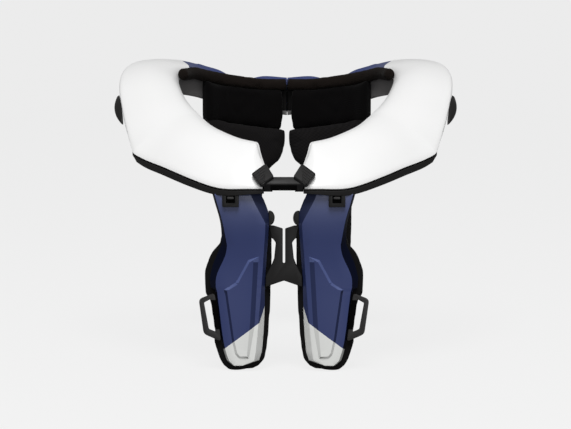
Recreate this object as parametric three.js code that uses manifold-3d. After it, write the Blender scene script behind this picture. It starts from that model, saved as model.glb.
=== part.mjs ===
// A two-piece neck brace for riders: a collar of two hinged halves on four padded legs.
// Millimetres, +Z up, the wearer's chest towards -Y. The floor under the four feet is Z = 0.
import * as THREE from "three";
import { mergeVertices } from "three/addons/utils/BufferGeometryUtils.js";
import Module from "manifold-3d";

const wasm = await Module();
wasm.setup();

// Driving sizes
const GAP = 0.3; // clearance between neighbouring pieces
const SEAM_ANGLE = 179.87; // where the rear pieces of one half stop short of the middle plane
const CENTRE_Y = 3.1; // middle of the brace from front to back, moved to the origin

// The collar platform. Angles run from the front (0) to the rear (180), radii from the neck's axis.
const COLLAR_COLUMNS = [
  "angle", "innerR", "innerZ", "outerR", "outerZ", "crown", "innerDepth", "outerDepth", "trim", "proud",
];
const COLLAR_ROWS = [
  [8, 112, 176.5, 129.2, 158.6, 0.8, 7, 1.4, 2.6, 0.4],
  [11, 104.9, 187.6, 130.2, 158.5, 1.7, 8.1, 1.4, 3, 0.5],
  [13.5, 98.6, 197.4, 131, 158.5, 2.5, 9, 1.4, 3.4, 0.6],
  [15.5, 97.9, 198.5, 131.7, 158.4, 2.9, 9.5, 1.4, 3.7, 0.6],
  [24, 96, 201.4, 134, 158.4, 4, 11, 1.4, 4.6, 0.8],
  [36, 93, 207.2, 136.5, 166, 5, 12, 1.4, 5.2, 0.8],
  [48, 89.7, 212.6, 139.3, 174.5, 6, 12, 1.4, 5.4, 0.8],
  [60, 87, 218.9, 145.4, 181.8, 6, 12, 1.6, 4.4, 0.6],
  [63, 86.4, 220.3, 148, 185, 6, 12, 2.4, 2.8, 0],
  [67, 85.8, 222.5, 146.6, 192, 6, 12, 5, 3, -3],
  [76, 86.2, 227.2, 145.8, 208.3, 6, 12, 10, 4, -4],
  [86, 88.2, 232.5, 147.2, 224.5, 6, 12, 12, 4, -4],
  [96, 92, 238, 151.8, 240.5, 6, 12, 13, 4, -4],
  [106, 98.5, 243.8, 156.6, 252.5, 6, 12, 15, 4, -4],
  [116, 108, 249.8, 158.6, 260.5, 4.5, 12, 18, 4, -4],
  [126, 117.5, 255, 156.4, 263.3, 2.6, 12, 22, 4, -4],
  [133, 122.5, 256, 152, 262.2, 0.3, 12, 26, 4, -4],
];
const PANEL_START = 8;
const PANEL_END = 133;
// Angles that the loft passes through, close together at the panel's two corners, and the steps between them
const PANEL_KEYS = [PANEL_START, 12.7, 13.5, 14.5, 61.8, 63, 64.2, PANEL_END];
const PANEL_STEPS = [4, 1, 1, 11, 1, 1, 16];
// The joint between the panel and the rear shell slants backwards from the neck edge outwards
const JOIN_SLANT = 0.5;
const JOIN_REACH = 14; // how far along the collar the slant fades out, in degrees
const JOIN_PIVOT_R = 122.5;
const PANEL_TOP_SHARES = [0, 0.03, 0.09, 0.18, 0.3, 0.45, 0.6, 0.75, 0.88, 0.96, 1];
const PANEL_ROLL = 7; // how far the top turns down at the neck edge
const PANEL_ROLL_LIMIT = 0.5; // the most that it takes of the panel's depth there
const PANEL_ROLL_SHARE = 0.16;
const PANEL_EDGE_DROP = 1; // the small round at the outer edge
const PANEL_FOOT_INSET = 2.5;
const TRAY_END = 118;
const TRAY_CLEARANCE = 0.8; // down from the panel's underside
const TRAY_WALL = 4;
const TRAY_FOOT = 6;
const TRAY_KNEE = 1;

// The rear shell: its lip towards the neck, its crest, and the foot of its back wall
const SHELL_COLUMNS = ["angle", "lipR", "lipZ", "crestR", "crestZ", "footZ"];
const SHELL_ROWS = [
  [133, 122.5, 256, 152, 262.2, 236.5],
  [140, 128.5, 253, 146.4, 259.8, 233],
  [148, 131.5, 248.5, 140.6, 255, 227],
  [153, 130.6, 246.2, 138.4, 251.4, 222.8],
  [157, 129.7, 242.6, 136.7, 245.4, 219.3],
  [164.5, 127.3, 241, 133.9, 243.4, 214],
  [168, 126.3, 242.1, 132.6, 245.9, 212],
  [180, 124.5, 241.3, 131, 244.7, 209],
];
const SHELL_START = 133.2;
const SHELL_STATIONS = 18;
const SHELL_WALL = 3.4;
const SHELL_BULGE = 2;
const SHELL_CREST = { inset: 1.5, reach: 0.6, drop: 1.2 }; // the round along the top of the rim
const SHELL_BULGE_DROP = 9; // the widest line below the crest
const SHELL_UNDERSIDE_DROP = 8.2; // where the rim meets the back wall, inside

// The dark wall behind the pads
const FRAME_COLUMNS = ["angle", "wallR", "topZ", "footZ"];
const FRAME_ROWS = [
  [120, 113.5, 238.4, 231],
  [126, 118, 240.6, 230.5],
  [133, 121.8, 241.8, 229],
  [140, 125, 246, 226.5],
  [150, 127.4, 240.4, 220],
  [160, 125.3, 236.2, 214],
  [170, 122.4, 236, 210.5],
  [180, 121, 236.2, 209.5],
];
const FRAME_START = 120;
const FRAME_STATIONS = 16;
const FRAME_WALL = 4;

// The rolled lining edge, by the middle of its section
const ROLL_COLUMNS = ["angle", "middleR", "middleZ"];
const ROLL_ROWS = [
  [117, 103.4, 243.8],
  [125, 110.9, 248.6],
  [133, 116.5, 250.3],
  [140, 119.6, 247.7],
  [150, 122, 244],
  [160, 119.9, 241],
  [170, 117, 239.1],
  [180, 115.6, 238.4],
];
const ROLL_START = 117;
const ROLL_END = 177.2;
const ROLL_STATIONS = 16;
const ROLL_HALF_WIDTH = 5;
const ROLL_HALF_HEIGHT = 5.2;
const ROLL_SIDES = 10;

// The upper rear pad, from the roll down to the crease
const CREASE_Z = 198.6;
const CREASE_RISE = 0.0015; // the crease climbs with the square of the distance from the middle
const WING_RISE = 0.00166; // and so does the lower pad's top, which stands further forward
const REAR_PAD_START = 138.6;
const REAR_PAD_END = 177.2;
const REAR_PAD_STATIONS = 10;
const REAR_PAD_THICKNESS = 11;
const REAR_PAD_ROUND = 3;

// The side bumper, a lens along the shoulder's outer edge
const BUMPER_START = 80.5;
const BUMPER_END = 93;
const BUMPER_STATIONS = 9;
const BUMPER_REACH = 6.6;
const BUMPER_HEIGHT = 12;
const BUMPER_DROP = 6.5; // its middle below the panel's edge
const BUMPER_END_SWELL = 0.4; // its size at the ends, as a share of the size in the middle
const BUMPER_SHOULDER = 0.7; // the corner between its back and its ridge, as a share of both

// The rear wing, by level: a pad whose section bows back in the middle, and the plate behind it
const WING_COLUMNS = ["z", "innerX", "outerX", "frontY", "bow", "rise"];
const WING_PAD_ROWS = [
  [198, 3, 77, 108, 0.0041, WING_RISE],
  [196, 2.2, 79, 107, 0.004, WING_RISE],
  [186, 2.2, 80, 106.4, 0.0037, 0.0012],
  [174, 4.6, 78, 106, 0.0034, 0.0008],
  [166, 8.5, 75, 106, 0.0031, 0.0005],
  [161, 16, 72, 106.2, 0.0028, 0.0003],
  [150, 22, 67, 106.6, 0.0024, 0],
  [130, 24, 62, 107.5, 0.002, 0],
  [90, 24.5, 61, 109.5, 0.0014, 0],
  [45, 25.5, 59, 109.5, 0.001, 0],
  [18, 27.5, 56.5, 108.5, 0.0008, 0],
  [6, 31, 52.5, 108, 0.0007, 0],
  [0, 35.5, 48, 107.8, 0.0007, 0],
];
const WING_PAD_THICKNESS = 9;
const WING_PAD_CHAMFER = 3;
const WING_PLATE_ROWS = [
  [207.4, 8, 62, 122.8, 0.0022, 0.0024],
  [199.5, 8, 64, 122.8, 0.0022, 0.0016],
  [188, 9, 74, 117.4, 0.0034, 0.0012],
  [174, 10, 73, 115.6, 0.0034, 0.0008],
  [162, 21, 68, 115.6, 0.0029, 0.0003],
  [150, 26.5, 62.5, 115.9, 0.0024, 0],
  [130, 28.5, 57.5, 116.8, 0.002, 0],
  [90, 29, 56.5, 118.8, 0.0014, 0],
  [45, 30, 54.5, 118.8, 0.001, 0],
  [18, 32, 52, 117.8, 0.0008, 0],
  [8, 36, 48, 117.3, 0.0007, 0],
];
const WING_PLATE_THICKNESS = 3.4;
const WING_PLATE_CHAMFER = 0.6;

// The front leg, by level. The plate's face lies between two slanted edges, and the pad is behind it.
const LEG_PLATE_COLUMNS = ["z", "innerX", "innerFace", "outerFace", "outerX", "frontY"];
const LEG_PLATE_ROWS = [
  [150.9, 19.6, 28, 58.6, 60.6, -121.8],
  [146, 16.4, 25.2, 56.7, 58.7, -122.2],
  [138, 13.2, 20.6, 54.2, 56.2, -122.3],
  [128, 12.6, 15.5, 51.5, 53.5, -121],
  [117, 13.2, 16, 49.6, 52.8, -118.8],
  [109, 13.8, 16.6, 48.2, 53.2, -117],
  [102, 14.4, 17.1, 48.8, 56.4, -115.6],
  [95, 14.8, 17.6, 51.8, 59.4, -114.4],
  [88, 15.4, 18, 55.4, 61.8, -113.6],
  [80, 16, 18.6, 58.4, 63.4, -113],
  [72, 16.2, 19.2, 57.9, 62.8, -112.7],
  [68.6, 16.3, 19.4, 56.9, 58.3, -112.55],
  [48, 16.6, 21.2, 54.4, 56, -112.2],
  [30, 17.6, 22.8, 52.4, 54, -111.8],
  [16, 19, 24.2, 49.6, 51.6, -111.6],
  [9, 23, 27, 46.8, 49, -111.4],
  [4, 33, 35.5, 42.5, 44.5, -111.3],
];
const LEG_PLATE_THICKNESS = 6.4;
const LEG_PLATE_CHAMFER = 5;
const LEG_PAD_COLUMNS = ["z", "innerX", "outerX", "frontY"];
const LEG_PAD_ROWS = [
  [151, 19.6, 58.5, -114.8],
  [140, 15, 54.5, -115.4],
  [126, 13.8, 52, -113.8],
  [117, 11.4, 52, -112.1],
  [109, 11.4, 53.4, -110.3],
  [102, 11.5, 60, -108.9],
  [94, 11.6, 64, -107.6],
  [85, 11.8, 66.8, -106.7],
  [75, 12, 66.7, -106.1],
  [66, 12.4, 66, -105.8],
  [61.5, 12.7, 62.1, -105.7],
  [48, 13.6, 60.1, -105.5],
  [31, 14.9, 57.7, -105.2],
  [25.5, 15.3, 59, -105.1],
  [10, 17.7, 54.3, -104.8],
  [4.5, 22.5, 51, -104.7],
  [1.5, 29, 47, -104.6],
  [0, 34, 45.5, -104.6],
];
const LEG_PAD_THICKNESS = 7;
const LEG_PAD_CHAMFER = 1.5;

// The strap loop: two slanted bars and the window between them, at its upper and lower ends
const LOOP_TOP = {
  z: 63, inner: 59.2, windowInner: 62.6, windowOuter: 68.4, outer: 72.8, bar: 4.2, slope: 0.3,
};
const LOOP_FOOT = {
  z: 33.6, inner: 53.8, windowInner: 58.5, windowOuter: 64.3, outer: 68.7, bar: 8.2, slope: 0.2,
}; // each slope places the end bar's outer corner, as a share of the bar's width
const LOOP_WINDOW_SLOPE = { top: 1, topOuter: 4.2, footOuter: 2.4 };
const LOOP_ROUND = 3;
const LOOP_WINDOW_ROUND = 1.2;
const LOOP_BACK_Y = -106.1;
const LOOP_THICKNESS = 2.8;

// The buckle frame at the top of the leg and the tongue that hangs in it from the collar
const BUCKLE = { innerX: 39, outerX: 53, footZ: 141, topZ: 150.6, bar: 3.2, backY: -122.8, thickness: 3 };
const BUCKLE_FLOOR = { inset: 1, thickness: 0.8 }; // the thin back of the frame
const BUCKLE_ROUND = 0.8;
const TONGUE = { innerX: 43.2, outerX: 48.8, footZ: 146.7, topZ: 150.8, backY: -123.9, thickness: 1.6 };

// The lug on the leg's inner edge
const KNOB = { middleX: 12.2, middleZ: 131.9, reach: 4.4, halfHeight: 6.1, backY: -109, thickness: 6.5 };

// The chest web between the legs: half of its outline, from the top of the slit round to the lower point
const WEB_HALF = [
  [1, 122.6], [8.4, 125], [12.9, 125.4], [11.9, 120.5], [11.1, 117.4], [11.1, 114.6], [9.3, 113.8],
  [7, 110.6], [8.4, 97], [10.4, 92], [15.4, 82], [15.6, 72.6], [11.6, 74], [0, 78],
];
const WEB_SLIT = { halfWidth: 1, footZ: 93 };
const WEB_BACK_Y = -106.6;
const WEB_THICKNESS = 4;

// The front clip: a bar between the panel ends and two finger tabs that lie on the panels
const CLIP_BAR = { halfLength: 16.5, share: 0.8, length: 8.6, lowest: -5, thickness: 9.4, round: 1.6 };
const CLIP_FOOT = { innerX: 9.5, lowest: -6.6, length: 5 }; // under each end of the bar
const CLIP_TAB = { angle: 8.6, share: 0.6, round: 1.2, lift: 3.25, thickness: 3, bevel: 0.7 };
const CLIP_TAB_OUTLINE = [[-2.6, 9], [-10.5, -3.9], [-1.4, -12.93], [7.4, -1.5]]; // across, up the slope

// The rear hinge: a vertical pin behind the seam
const HINGE = { y: 137.3, radius: 3.6, bore: 1.75, pin: 1.4, footZ: 212, topZ: 243 };
const KNUCKLE_LEVELS = { second: 222.3, third: 232.7 };
const LEAF = { frontY: 133.4, thickness: 2, innerX: 4.4, outerX: 15, bridgeOverlap: 1, bridgeStep: 0.4 };
const KNUCKLE_SIDES = 20;

// Steps in each rounded corner
const SMALL_ROUND_STEPS = 3;
const LARGE_ROUND_STEPS = 10;

const finish = (color, roughness) => new THREE.MeshStandardMaterial({ color, roughness, metalness: 0 });
const WHITE = finish(0xf4f4f2, 0.35);
const BLUE = finish(0x3a4672, 0.45);
const BLACK = finish(0x2a2828, 0.5);
const DARK_GREY = finish(0x3c3a3a, 0.55);
const FOAM = finish(0x141213, 0.9);
const STEEL = new THREE.MeshStandardMaterial({ color: 0x9a9a9a, roughness: 0.3, metalness: 1 });

// Smooth rows of a table: a function from the first column to the others by name
function smoothTable(columns, rows) {
  const names = columns.slice(1);
  const keys = rows.map((row) => row[0]);
  const values = rows.flatMap((row) => row.slice(1));
  const interpolant = new THREE.CubicInterpolant(keys, values, names.length, new Float32Array(names.length));
  return (key) => {
    const result = interpolant.evaluate(key);
    return Object.fromEntries(names.map((name, i) => [name, result[i]]));
  };
}

const collarAt = smoothTable(COLLAR_COLUMNS, COLLAR_ROWS);
const shellAt = smoothTable(SHELL_COLUMNS, SHELL_ROWS);
const frameAt = smoothTable(FRAME_COLUMNS, FRAME_ROWS);
const rollAt = smoothTable(ROLL_COLUMNS, ROLL_ROWS);

const range = (start, end, count) =>
  Array.from({ length: count }, (_, i) => start + ((end - start) * i) / (count - 1));

// Geometry with its faces turned outwards
function outward(positions, triangles) {
  const point = (i) => new THREE.Vector3().fromArray(positions, 3 * i);
  let volume = 0;
  for (let i = 0; i < triangles.length; i += 3) {
    const [a, b, c] = [point(triangles[i]), point(triangles[i + 1]), point(triangles[i + 2])];
    volume += a.dot(b.cross(c));
  }
  const turned = volume < 0 ? triangles.slice().reverse() : triangles;
  const geometry = new THREE.BufferGeometry();
  geometry.setAttribute("position", new THREE.Float32BufferAttribute(positions, 3));
  geometry.setIndex(turned);
  return geometry;
}

// A closed skin through sections, each a flat profile and the function that places its points
function loft(sections) {
  const clockwise = THREE.ShapeUtils.isClockWise(sections[0].profile);
  const loops = sections.map(({ profile, place }) => {
    const ordered = clockwise ? profile.slice().reverse() : profile;
    return { ordered, points: ordered.map(place) };
  });
  const count = loops[0].points.length;
  const positions = loops.flatMap(({ points }) => points.flatMap((p) => p.toArray()));
  const triangles = [];
  for (let ring = 0; ring < loops.length - 1; ring++) {
    for (let i = 0; i < count; i++) {
      const next = (i + 1) % count;
      const [a, b] = [ring * count + i, ring * count + next];
      const [c, d] = [a + count, b + count];
      triangles.push(a, b, d, a, d, c);
    }
  }
  const last = (loops.length - 1) * count;
  for (const [a, b, c] of THREE.ShapeUtils.triangulateShape(loops[0].ordered, [])) {
    triangles.push(a, c, b);
  }
  for (const [a, b, c] of THREE.ShapeUtils.triangulateShape(loops.at(-1).ordered, [])) {
    triangles.push(last + a, last + b, last + c);
  }
  return outward(positions, triangles);
}

// The same piece on the other side of the middle plane
function mirrored(geometry) {
  const copy = geometry.clone().applyMatrix4(new THREE.Matrix4().makeScale(-1, 1, 1));
  const positions = Array.from(copy.getAttribute("position").array);
  return outward(positions, Array.from(copy.getIndex().array));
}

// A piece as its positions and triangles only, with shared corners merged
function plain(geometry) {
  geometry.deleteAttribute("normal");
  geometry.deleteAttribute("uv");
  return mergeVertices(geometry, 1e-4);
}

const solidOf = (geometry) => {
  const merged = plain(geometry);
  const vertProperties = new Float32Array(merged.getAttribute("position").array);
  const triVerts = new Uint32Array(merged.getIndex().array);
  return new wasm.Manifold(new wasm.Mesh({ numProp: 3, vertProperties, triVerts }));
};

function geometryOf(solid) {
  const mesh = solid.getMesh();
  const geometry = new THREE.BufferGeometry();
  geometry.setAttribute("position", new THREE.Float32BufferAttribute(mesh.vertProperties, 3));
  geometry.setIndex(Array.from(mesh.triVerts));
  return geometry;
}

const joined = (geometries) => geometryOf(geometries.map(solidOf).reduce((a, b) => a.add(b)));

// Radius and height in the upright plane at an angle round the neck
const collarPlace = (angle) => {
  const turn = THREE.MathUtils.degToRad(angle);
  return (p) => new THREE.Vector3(p.x * Math.sin(turn), -p.x * Math.cos(turn), p.y);
};

// The same plane, slanted near the joint of panel and shell
const joinPlace = (angle) => {
  const slant = JOIN_SLANT * Math.max(0, 1 - Math.abs(angle - PANEL_END) / JOIN_REACH);
  const backwards = collarPlace(angle + 90)(new THREE.Vector2(1, 0));
  return (p) => collarPlace(angle)(p).addScaledVector(backwards, slant * (p.x - JOIN_PIVOT_R));
};

const collarLoft = (angles, profileAt, placeAt = collarPlace) =>
  loft(angles.map((angle) => ({ profile: profileAt(angle), place: placeAt(angle) })));

// The straight line across the platform at an angle, with the direction that stands off it
function platformChord(angle) {
  const row = collarAt(angle);
  const inner = new THREE.Vector2(row.innerR, row.innerZ);
  const outer = new THREE.Vector2(row.outerR, row.outerZ);
  const along = outer.clone().sub(inner).normalize();
  const up = new THREE.Vector2(-along.y, along.x);
  return { row, inner, outer, along, up, width: inner.distanceTo(outer) };
}

// The two ends of the panel's underside
function panelFoot(row) {
  return {
    inner: new THREE.Vector2(row.innerR + PANEL_FOOT_INSET, row.innerZ - row.innerDepth),
    outer: new THREE.Vector2(row.outerR - PANEL_FOOT_INSET, row.outerZ - row.outerDepth),
  };
}

function panelProfile(angle) {
  const { row, inner, along, up, width } = platformChord(angle);
  const roll = Math.min(PANEL_ROLL, row.innerDepth * PANEL_ROLL_LIMIT);
  const top = PANEL_TOP_SHARES.map((share) => {
    const fall = Math.max(0, 1 - share / PANEL_ROLL_SHARE);
    const edge = share === 1 ? PANEL_EDGE_DROP : 0;
    const height = row.crown * Math.sin(Math.PI * share) - roll * fall ** 2 - edge;
    return inner.clone().addScaledVector(along, share * width).addScaledVector(up, height);
  });
  const foot = panelFoot(row);
  return [...top, foot.outer, foot.inner];
}

const panelAngles = [
  PANEL_START,
  ...PANEL_STEPS.flatMap((steps, i) => range(PANEL_KEYS[i], PANEL_KEYS[i + 1], steps + 1).slice(1)),
];
const collarPanel = () => collarLoft(panelAngles, panelProfile, joinPlace);

// The tray follows the panel's underside, and its trim stands below the panel's outer edge
function trayProfile(angle) {
  const { row } = platformChord(angle);
  const { inner, outer } = panelFoot(row);
  const below = (r) => THREE.MathUtils.mapLinear(r, inner.x, outer.x, inner.y, outer.y) - TRAY_CLEARANCE;
  const edge = row.outerR + row.proud;
  const knee = Math.min(outer.x, edge - TRAY_KNEE);
  const trimTop = below(knee);
  return [
    new THREE.Vector2(inner.x, below(inner.x)),
    new THREE.Vector2(knee, trimTop),
    new THREE.Vector2(edge, trimTop),
    new THREE.Vector2(edge - GAP, trimTop - row.trim),
    new THREE.Vector2(edge - TRAY_FOOT, trimTop - row.trim),
    new THREE.Vector2(inner.x, below(inner.x) - TRAY_WALL),
  ];
}

const trayAngles = panelAngles.filter((angle) => angle < TRAY_END);
const collarTray = () => collarLoft(trayAngles, trayProfile);

function shellProfile(angle) {
  const row = shellAt(angle);
  const back = row.crestR + SHELL_BULGE;
  const inside = row.crestR - SHELL_WALL;
  return [
    new THREE.Vector2(row.lipR, row.lipZ - SHELL_WALL),
    new THREE.Vector2(row.lipR, row.lipZ),
    new THREE.Vector2(row.crestR - SHELL_CREST.inset, row.crestZ),
    new THREE.Vector2(row.crestR + SHELL_CREST.reach, row.crestZ - SHELL_CREST.drop),
    new THREE.Vector2(back, row.crestZ - SHELL_BULGE_DROP),
    new THREE.Vector2(back, (row.crestZ + row.footZ) / 2),
    new THREE.Vector2(row.crestR, row.footZ),
    new THREE.Vector2(inside, row.footZ),
    new THREE.Vector2(inside, row.crestZ - SHELL_UNDERSIDE_DROP),
  ];
}

const rearShell = () => collarLoft(range(SHELL_START, SEAM_ANGLE, SHELL_STATIONS), shellProfile, joinPlace);

function frameProfile(angle) {
  const row = frameAt(angle);
  return [
    new THREE.Vector2(row.wallR, row.footZ),
    new THREE.Vector2(row.wallR, row.topZ),
    new THREE.Vector2(row.wallR + FRAME_WALL, row.topZ),
    new THREE.Vector2(row.wallR + FRAME_WALL, row.footZ),
  ];
}

const rearFrame = () => collarLoft(range(FRAME_START, SEAM_ANGLE, FRAME_STATIONS), frameProfile);

// An oval section about a middle point
function roundSection(middleR, middleZ, halfWidth, halfHeight, sides) {
  return range(0, 2 * Math.PI * (1 - 1 / sides), sides).map(
    (turn) => new THREE.Vector2(middleR + halfWidth * Math.cos(turn), middleZ + halfHeight * Math.sin(turn)),
  );
}

function rimRoll() {
  return collarLoft(range(ROLL_START, ROLL_END, ROLL_STATIONS), (angle) => {
    const row = rollAt(angle);
    return roundSection(row.middleR, row.middleZ, ROLL_HALF_WIDTH, ROLL_HALF_HEIGHT, ROLL_SIDES);
  });
}

function rearPadProfile(angle) {
  const back = frameAt(angle).wallR - GAP;
  const front = back - REAR_PAD_THICKNESS;
  const roll = rollAt(angle);
  const top = roll.middleZ - ROLL_HALF_HEIGHT - GAP;
  const reach = back * Math.sin(THREE.MathUtils.degToRad(angle));
  const foot = CREASE_Z + CREASE_RISE * reach * reach;
  return [
    new THREE.Vector2(back, top),
    new THREE.Vector2(front + REAR_PAD_ROUND, top),
    new THREE.Vector2(front, top - REAR_PAD_ROUND),
    new THREE.Vector2(front, foot + REAR_PAD_ROUND),
    new THREE.Vector2(front + REAR_PAD_ROUND, foot),
    new THREE.Vector2(back, foot),
  ];
}

const rearPad = () => collarLoft(range(REAR_PAD_START, REAR_PAD_END, REAR_PAD_STATIONS), rearPadProfile);

function sideBumper() {
  return collarLoft(range(BUMPER_START, BUMPER_END, BUMPER_STATIONS), (angle) => {
    const row = collarAt(angle);
    const share = (angle - BUMPER_START) / (BUMPER_END - BUMPER_START);
    const swell = THREE.MathUtils.lerp(BUMPER_END_SWELL, 1, Math.sin(Math.PI * share));
    const back = row.outerR + GAP;
    const middle = row.outerZ - BUMPER_DROP;
    const half = 0.5 * BUMPER_HEIGHT * swell;
    const reach = BUMPER_REACH * swell;
    return [
      new THREE.Vector2(back, middle - half),
      new THREE.Vector2(back + BUMPER_SHOULDER * reach, middle - BUMPER_SHOULDER * half),
      new THREE.Vector2(back + reach, middle),
      new THREE.Vector2(back + BUMPER_SHOULDER * reach, middle + BUMPER_SHOULDER * half),
      new THREE.Vector2(back, middle + half),
    ];
  });
}

// Where a level section's points stand across X
const FACE_SHARES = [0, 0.12, 0.37, 0.63, 0.88, 1];

function faceStops({ innerX, innerFace, outerFace, outerX }) {
  if (innerFace === undefined) {
    return FACE_SHARES.map((share) => THREE.MathUtils.lerp(innerX, outerX, share));
  }
  return [innerX, innerFace, outerFace, outerX];
}

// A level section of a plate or pad: its face runs across X, and both ends are chamfered
function levelSection(row, thickness, chamfer) {
  const bow = row.bow ?? 0;
  const rise = row.rise ?? 0;
  const stops = faceStops(row);
  const front = stops.map((x, i) => {
    const end = i === 0 || i === stops.length - 1;
    return new THREE.Vector2(x, row.frontY + (end ? chamfer : 0));
  });
  const back = stops.map((x) => new THREE.Vector2(x, row.frontY + thickness)).reverse();
  const place = (p) => new THREE.Vector3(p.x, p.y - bow * p.x * p.x, row.z + rise * p.x * p.x);
  return { profile: [...front, ...back], place };
}

function levelLoft(columns, rows, thickness, chamfer) {
  const named = rows.map((row) => Object.fromEntries(columns.map((name, i) => [name, row[i]])));
  return loft(named.map((row) => levelSection(row, thickness, chamfer)));
}

const wingPad = () => levelLoft(WING_COLUMNS, WING_PAD_ROWS, WING_PAD_THICKNESS, WING_PAD_CHAMFER);
const wingPlate = () => levelLoft(WING_COLUMNS, WING_PLATE_ROWS, WING_PLATE_THICKNESS, WING_PLATE_CHAMFER);
const legPlate = () => levelLoft(LEG_PLATE_COLUMNS, LEG_PLATE_ROWS, LEG_PLATE_THICKNESS, LEG_PLATE_CHAMFER);
const legPad = () => levelLoft(LEG_PAD_COLUMNS, LEG_PAD_ROWS, LEG_PAD_THICKNESS, LEG_PAD_CHAMFER);

// An upright outline in X and Z given a thickness towards the front, from its back face
function uprightSlab(shape, backY, thickness, curveSegments) {
  const geometry = new THREE.ExtrudeGeometry(shape, { depth: thickness, bevelEnabled: false, curveSegments });
  geometry.rotateX(Math.PI / 2);
  geometry.translate(0, backY, 0);
  return plain(geometry);
}

// A closed outline whose corners are rounded
function roundedOutline(corners, radius, Kind = THREE.Shape) {
  const outline = new Kind();
  corners.forEach((corner, i) => {
    const before = corners.at(i - 1);
    const after = corners[(i + 1) % corners.length];
    const start = corner.clone().add(before.clone().sub(corner).setLength(radius));
    const end = corner.clone().add(after.clone().sub(corner).setLength(radius));
    if (i === 0) {
      outline.moveTo(start.x, start.y);
    } else {
      outline.lineTo(start.x, start.y);
    }
    outline.quadraticCurveTo(corner.x, corner.y, end.x, end.y);
  });
  outline.closePath();
  return outline;
}

const points2d = (...pairs) => pairs.map(([x, z]) => new THREE.Vector2(x, z));
const rectangle = (x0, x1, z0, z1) => points2d([x0, z0], [x1, z0], [x1, z1], [x0, z1]);

function legLoop() {
  const [top, foot] = [LOOP_TOP, LOOP_FOOT];
  const outline = roundedOutline(
    points2d(
      [foot.inner, foot.z - foot.bar], [foot.outer, foot.z - foot.slope * foot.bar],
      [top.outer, top.z - top.slope * top.bar], [top.inner, top.z + top.bar],
    ),
    LOOP_ROUND,
  );
  const window = roundedOutline(
    points2d(
      [foot.windowInner, foot.z], [foot.windowOuter, foot.z + LOOP_WINDOW_SLOPE.footOuter],
      [top.windowOuter, top.z - LOOP_WINDOW_SLOPE.topOuter], [top.windowInner, top.z - LOOP_WINDOW_SLOPE.top],
    ),
    LOOP_WINDOW_ROUND, THREE.Path,
  );
  outline.holes.push(window);
  return uprightSlab(outline, LOOP_BACK_Y, LOOP_THICKNESS, SMALL_ROUND_STEPS);
}

function legBuckle() {
  const { innerX, outerX, footZ, topZ, bar, backY, thickness } = BUCKLE;
  const { inset, thickness: floor } = BUCKLE_FLOOR;
  const outline = roundedOutline(
    points2d(
      [innerX, footZ], [outerX, footZ], [outerX, topZ], [outerX - bar, topZ],
      [outerX - bar, footZ + bar], [innerX + bar, footZ + bar], [innerX + bar, topZ], [innerX, topZ],
    ),
    BUCKLE_ROUND,
  );
  const back = uprightBox(innerX + inset, outerX - inset, backY - floor, backY, footZ + inset, topZ);
  return joined([uprightSlab(outline, backY, thickness, SMALL_ROUND_STEPS), back]);
}

function buckleTongue() {
  const { innerX, outerX, footZ, topZ, backY, thickness } = TONGUE;
  const outline = roundedOutline(rectangle(innerX, outerX, footZ, topZ), BUCKLE_ROUND);
  return uprightSlab(outline, backY, thickness, SMALL_ROUND_STEPS);
}

function webKnob() {
  const { middleX, middleZ, reach, halfHeight, backY, thickness } = KNOB;
  const outline = new THREE.Shape();
  outline.absellipse(middleX, middleZ, reach, halfHeight, Math.PI / 2, (3 * Math.PI) / 2, false, 0);
  outline.closePath();
  return uprightSlab(outline, backY, thickness, LARGE_ROUND_STEPS);
}

function chestWeb() {
  const { halfWidth, footZ } = WEB_SLIT;
  const right = points2d(...WEB_HALF);
  const left = right.slice(0, -1).reverse().map((p) => new THREE.Vector2(-p.x, p.y));
  const outline = new THREE.Shape();
  outline.setFromPoints([...right, ...left]);
  outline.lineTo(-halfWidth, footZ + halfWidth);
  outline.absarc(0, footZ + halfWidth, halfWidth, Math.PI, 2 * Math.PI, false);
  outline.closePath();
  return uprightSlab(outline, WEB_BACK_Y, WEB_THICKNESS, LARGE_ROUND_STEPS);
}

// A block in the sloping plane of the platform: an outline drawn round the loft's angle, down the
// slope and off the surface
function onPlatform(angle, share, geometry) {
  const { inner, outer, along, up } = platformChord(Math.max(angle, PANEL_START));
  const place = collarPlace(angle);
  const middle = place(inner.clone().lerp(outer, share));
  const origin = place(new THREE.Vector2());
  const upward = place(along.clone().negate()).sub(origin);
  const off = place(up).sub(origin);
  const basis = new THREE.Matrix4().makeBasis(upward.clone().cross(off), upward, off);
  return geometry.applyMatrix4(basis.setPosition(middle));
}

function clipTab(side) {
  const { angle, share, round, lift, thickness, bevel } = CLIP_TAB;
  const outline = roundedOutline(points2d(...CLIP_TAB_OUTLINE), round);
  const geometry = new THREE.ExtrudeGeometry(outline, {
    depth: thickness, bevelSize: bevel, bevelThickness: bevel, bevelSegments: 1,
    curveSegments: SMALL_ROUND_STEPS,
  });
  geometry.translate(0, 0, lift + bevel);
  const tab = plain(onPlatform(angle, share, geometry));
  return side > 0 ? tab : mirrored(tab);
}

// A block across the clip: a section drawn up the slope and off it, from one end to the other
function clipBlock(section, startX, endX) {
  const geometry = new THREE.ExtrudeGeometry(section, {
    depth: endX - startX, bevelEnabled: false, curveSegments: SMALL_ROUND_STEPS,
  });
  geometry.translate(0, 0, startX);
  geometry.applyMatrix4(
    new THREE.Matrix4().makeBasis(
      new THREE.Vector3(0, 1, 0), new THREE.Vector3(0, 0, 1), new THREE.Vector3(1, 0, 0),
    ),
  );
  return plain(onPlatform(0, CLIP_BAR.share, geometry));
}

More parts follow.
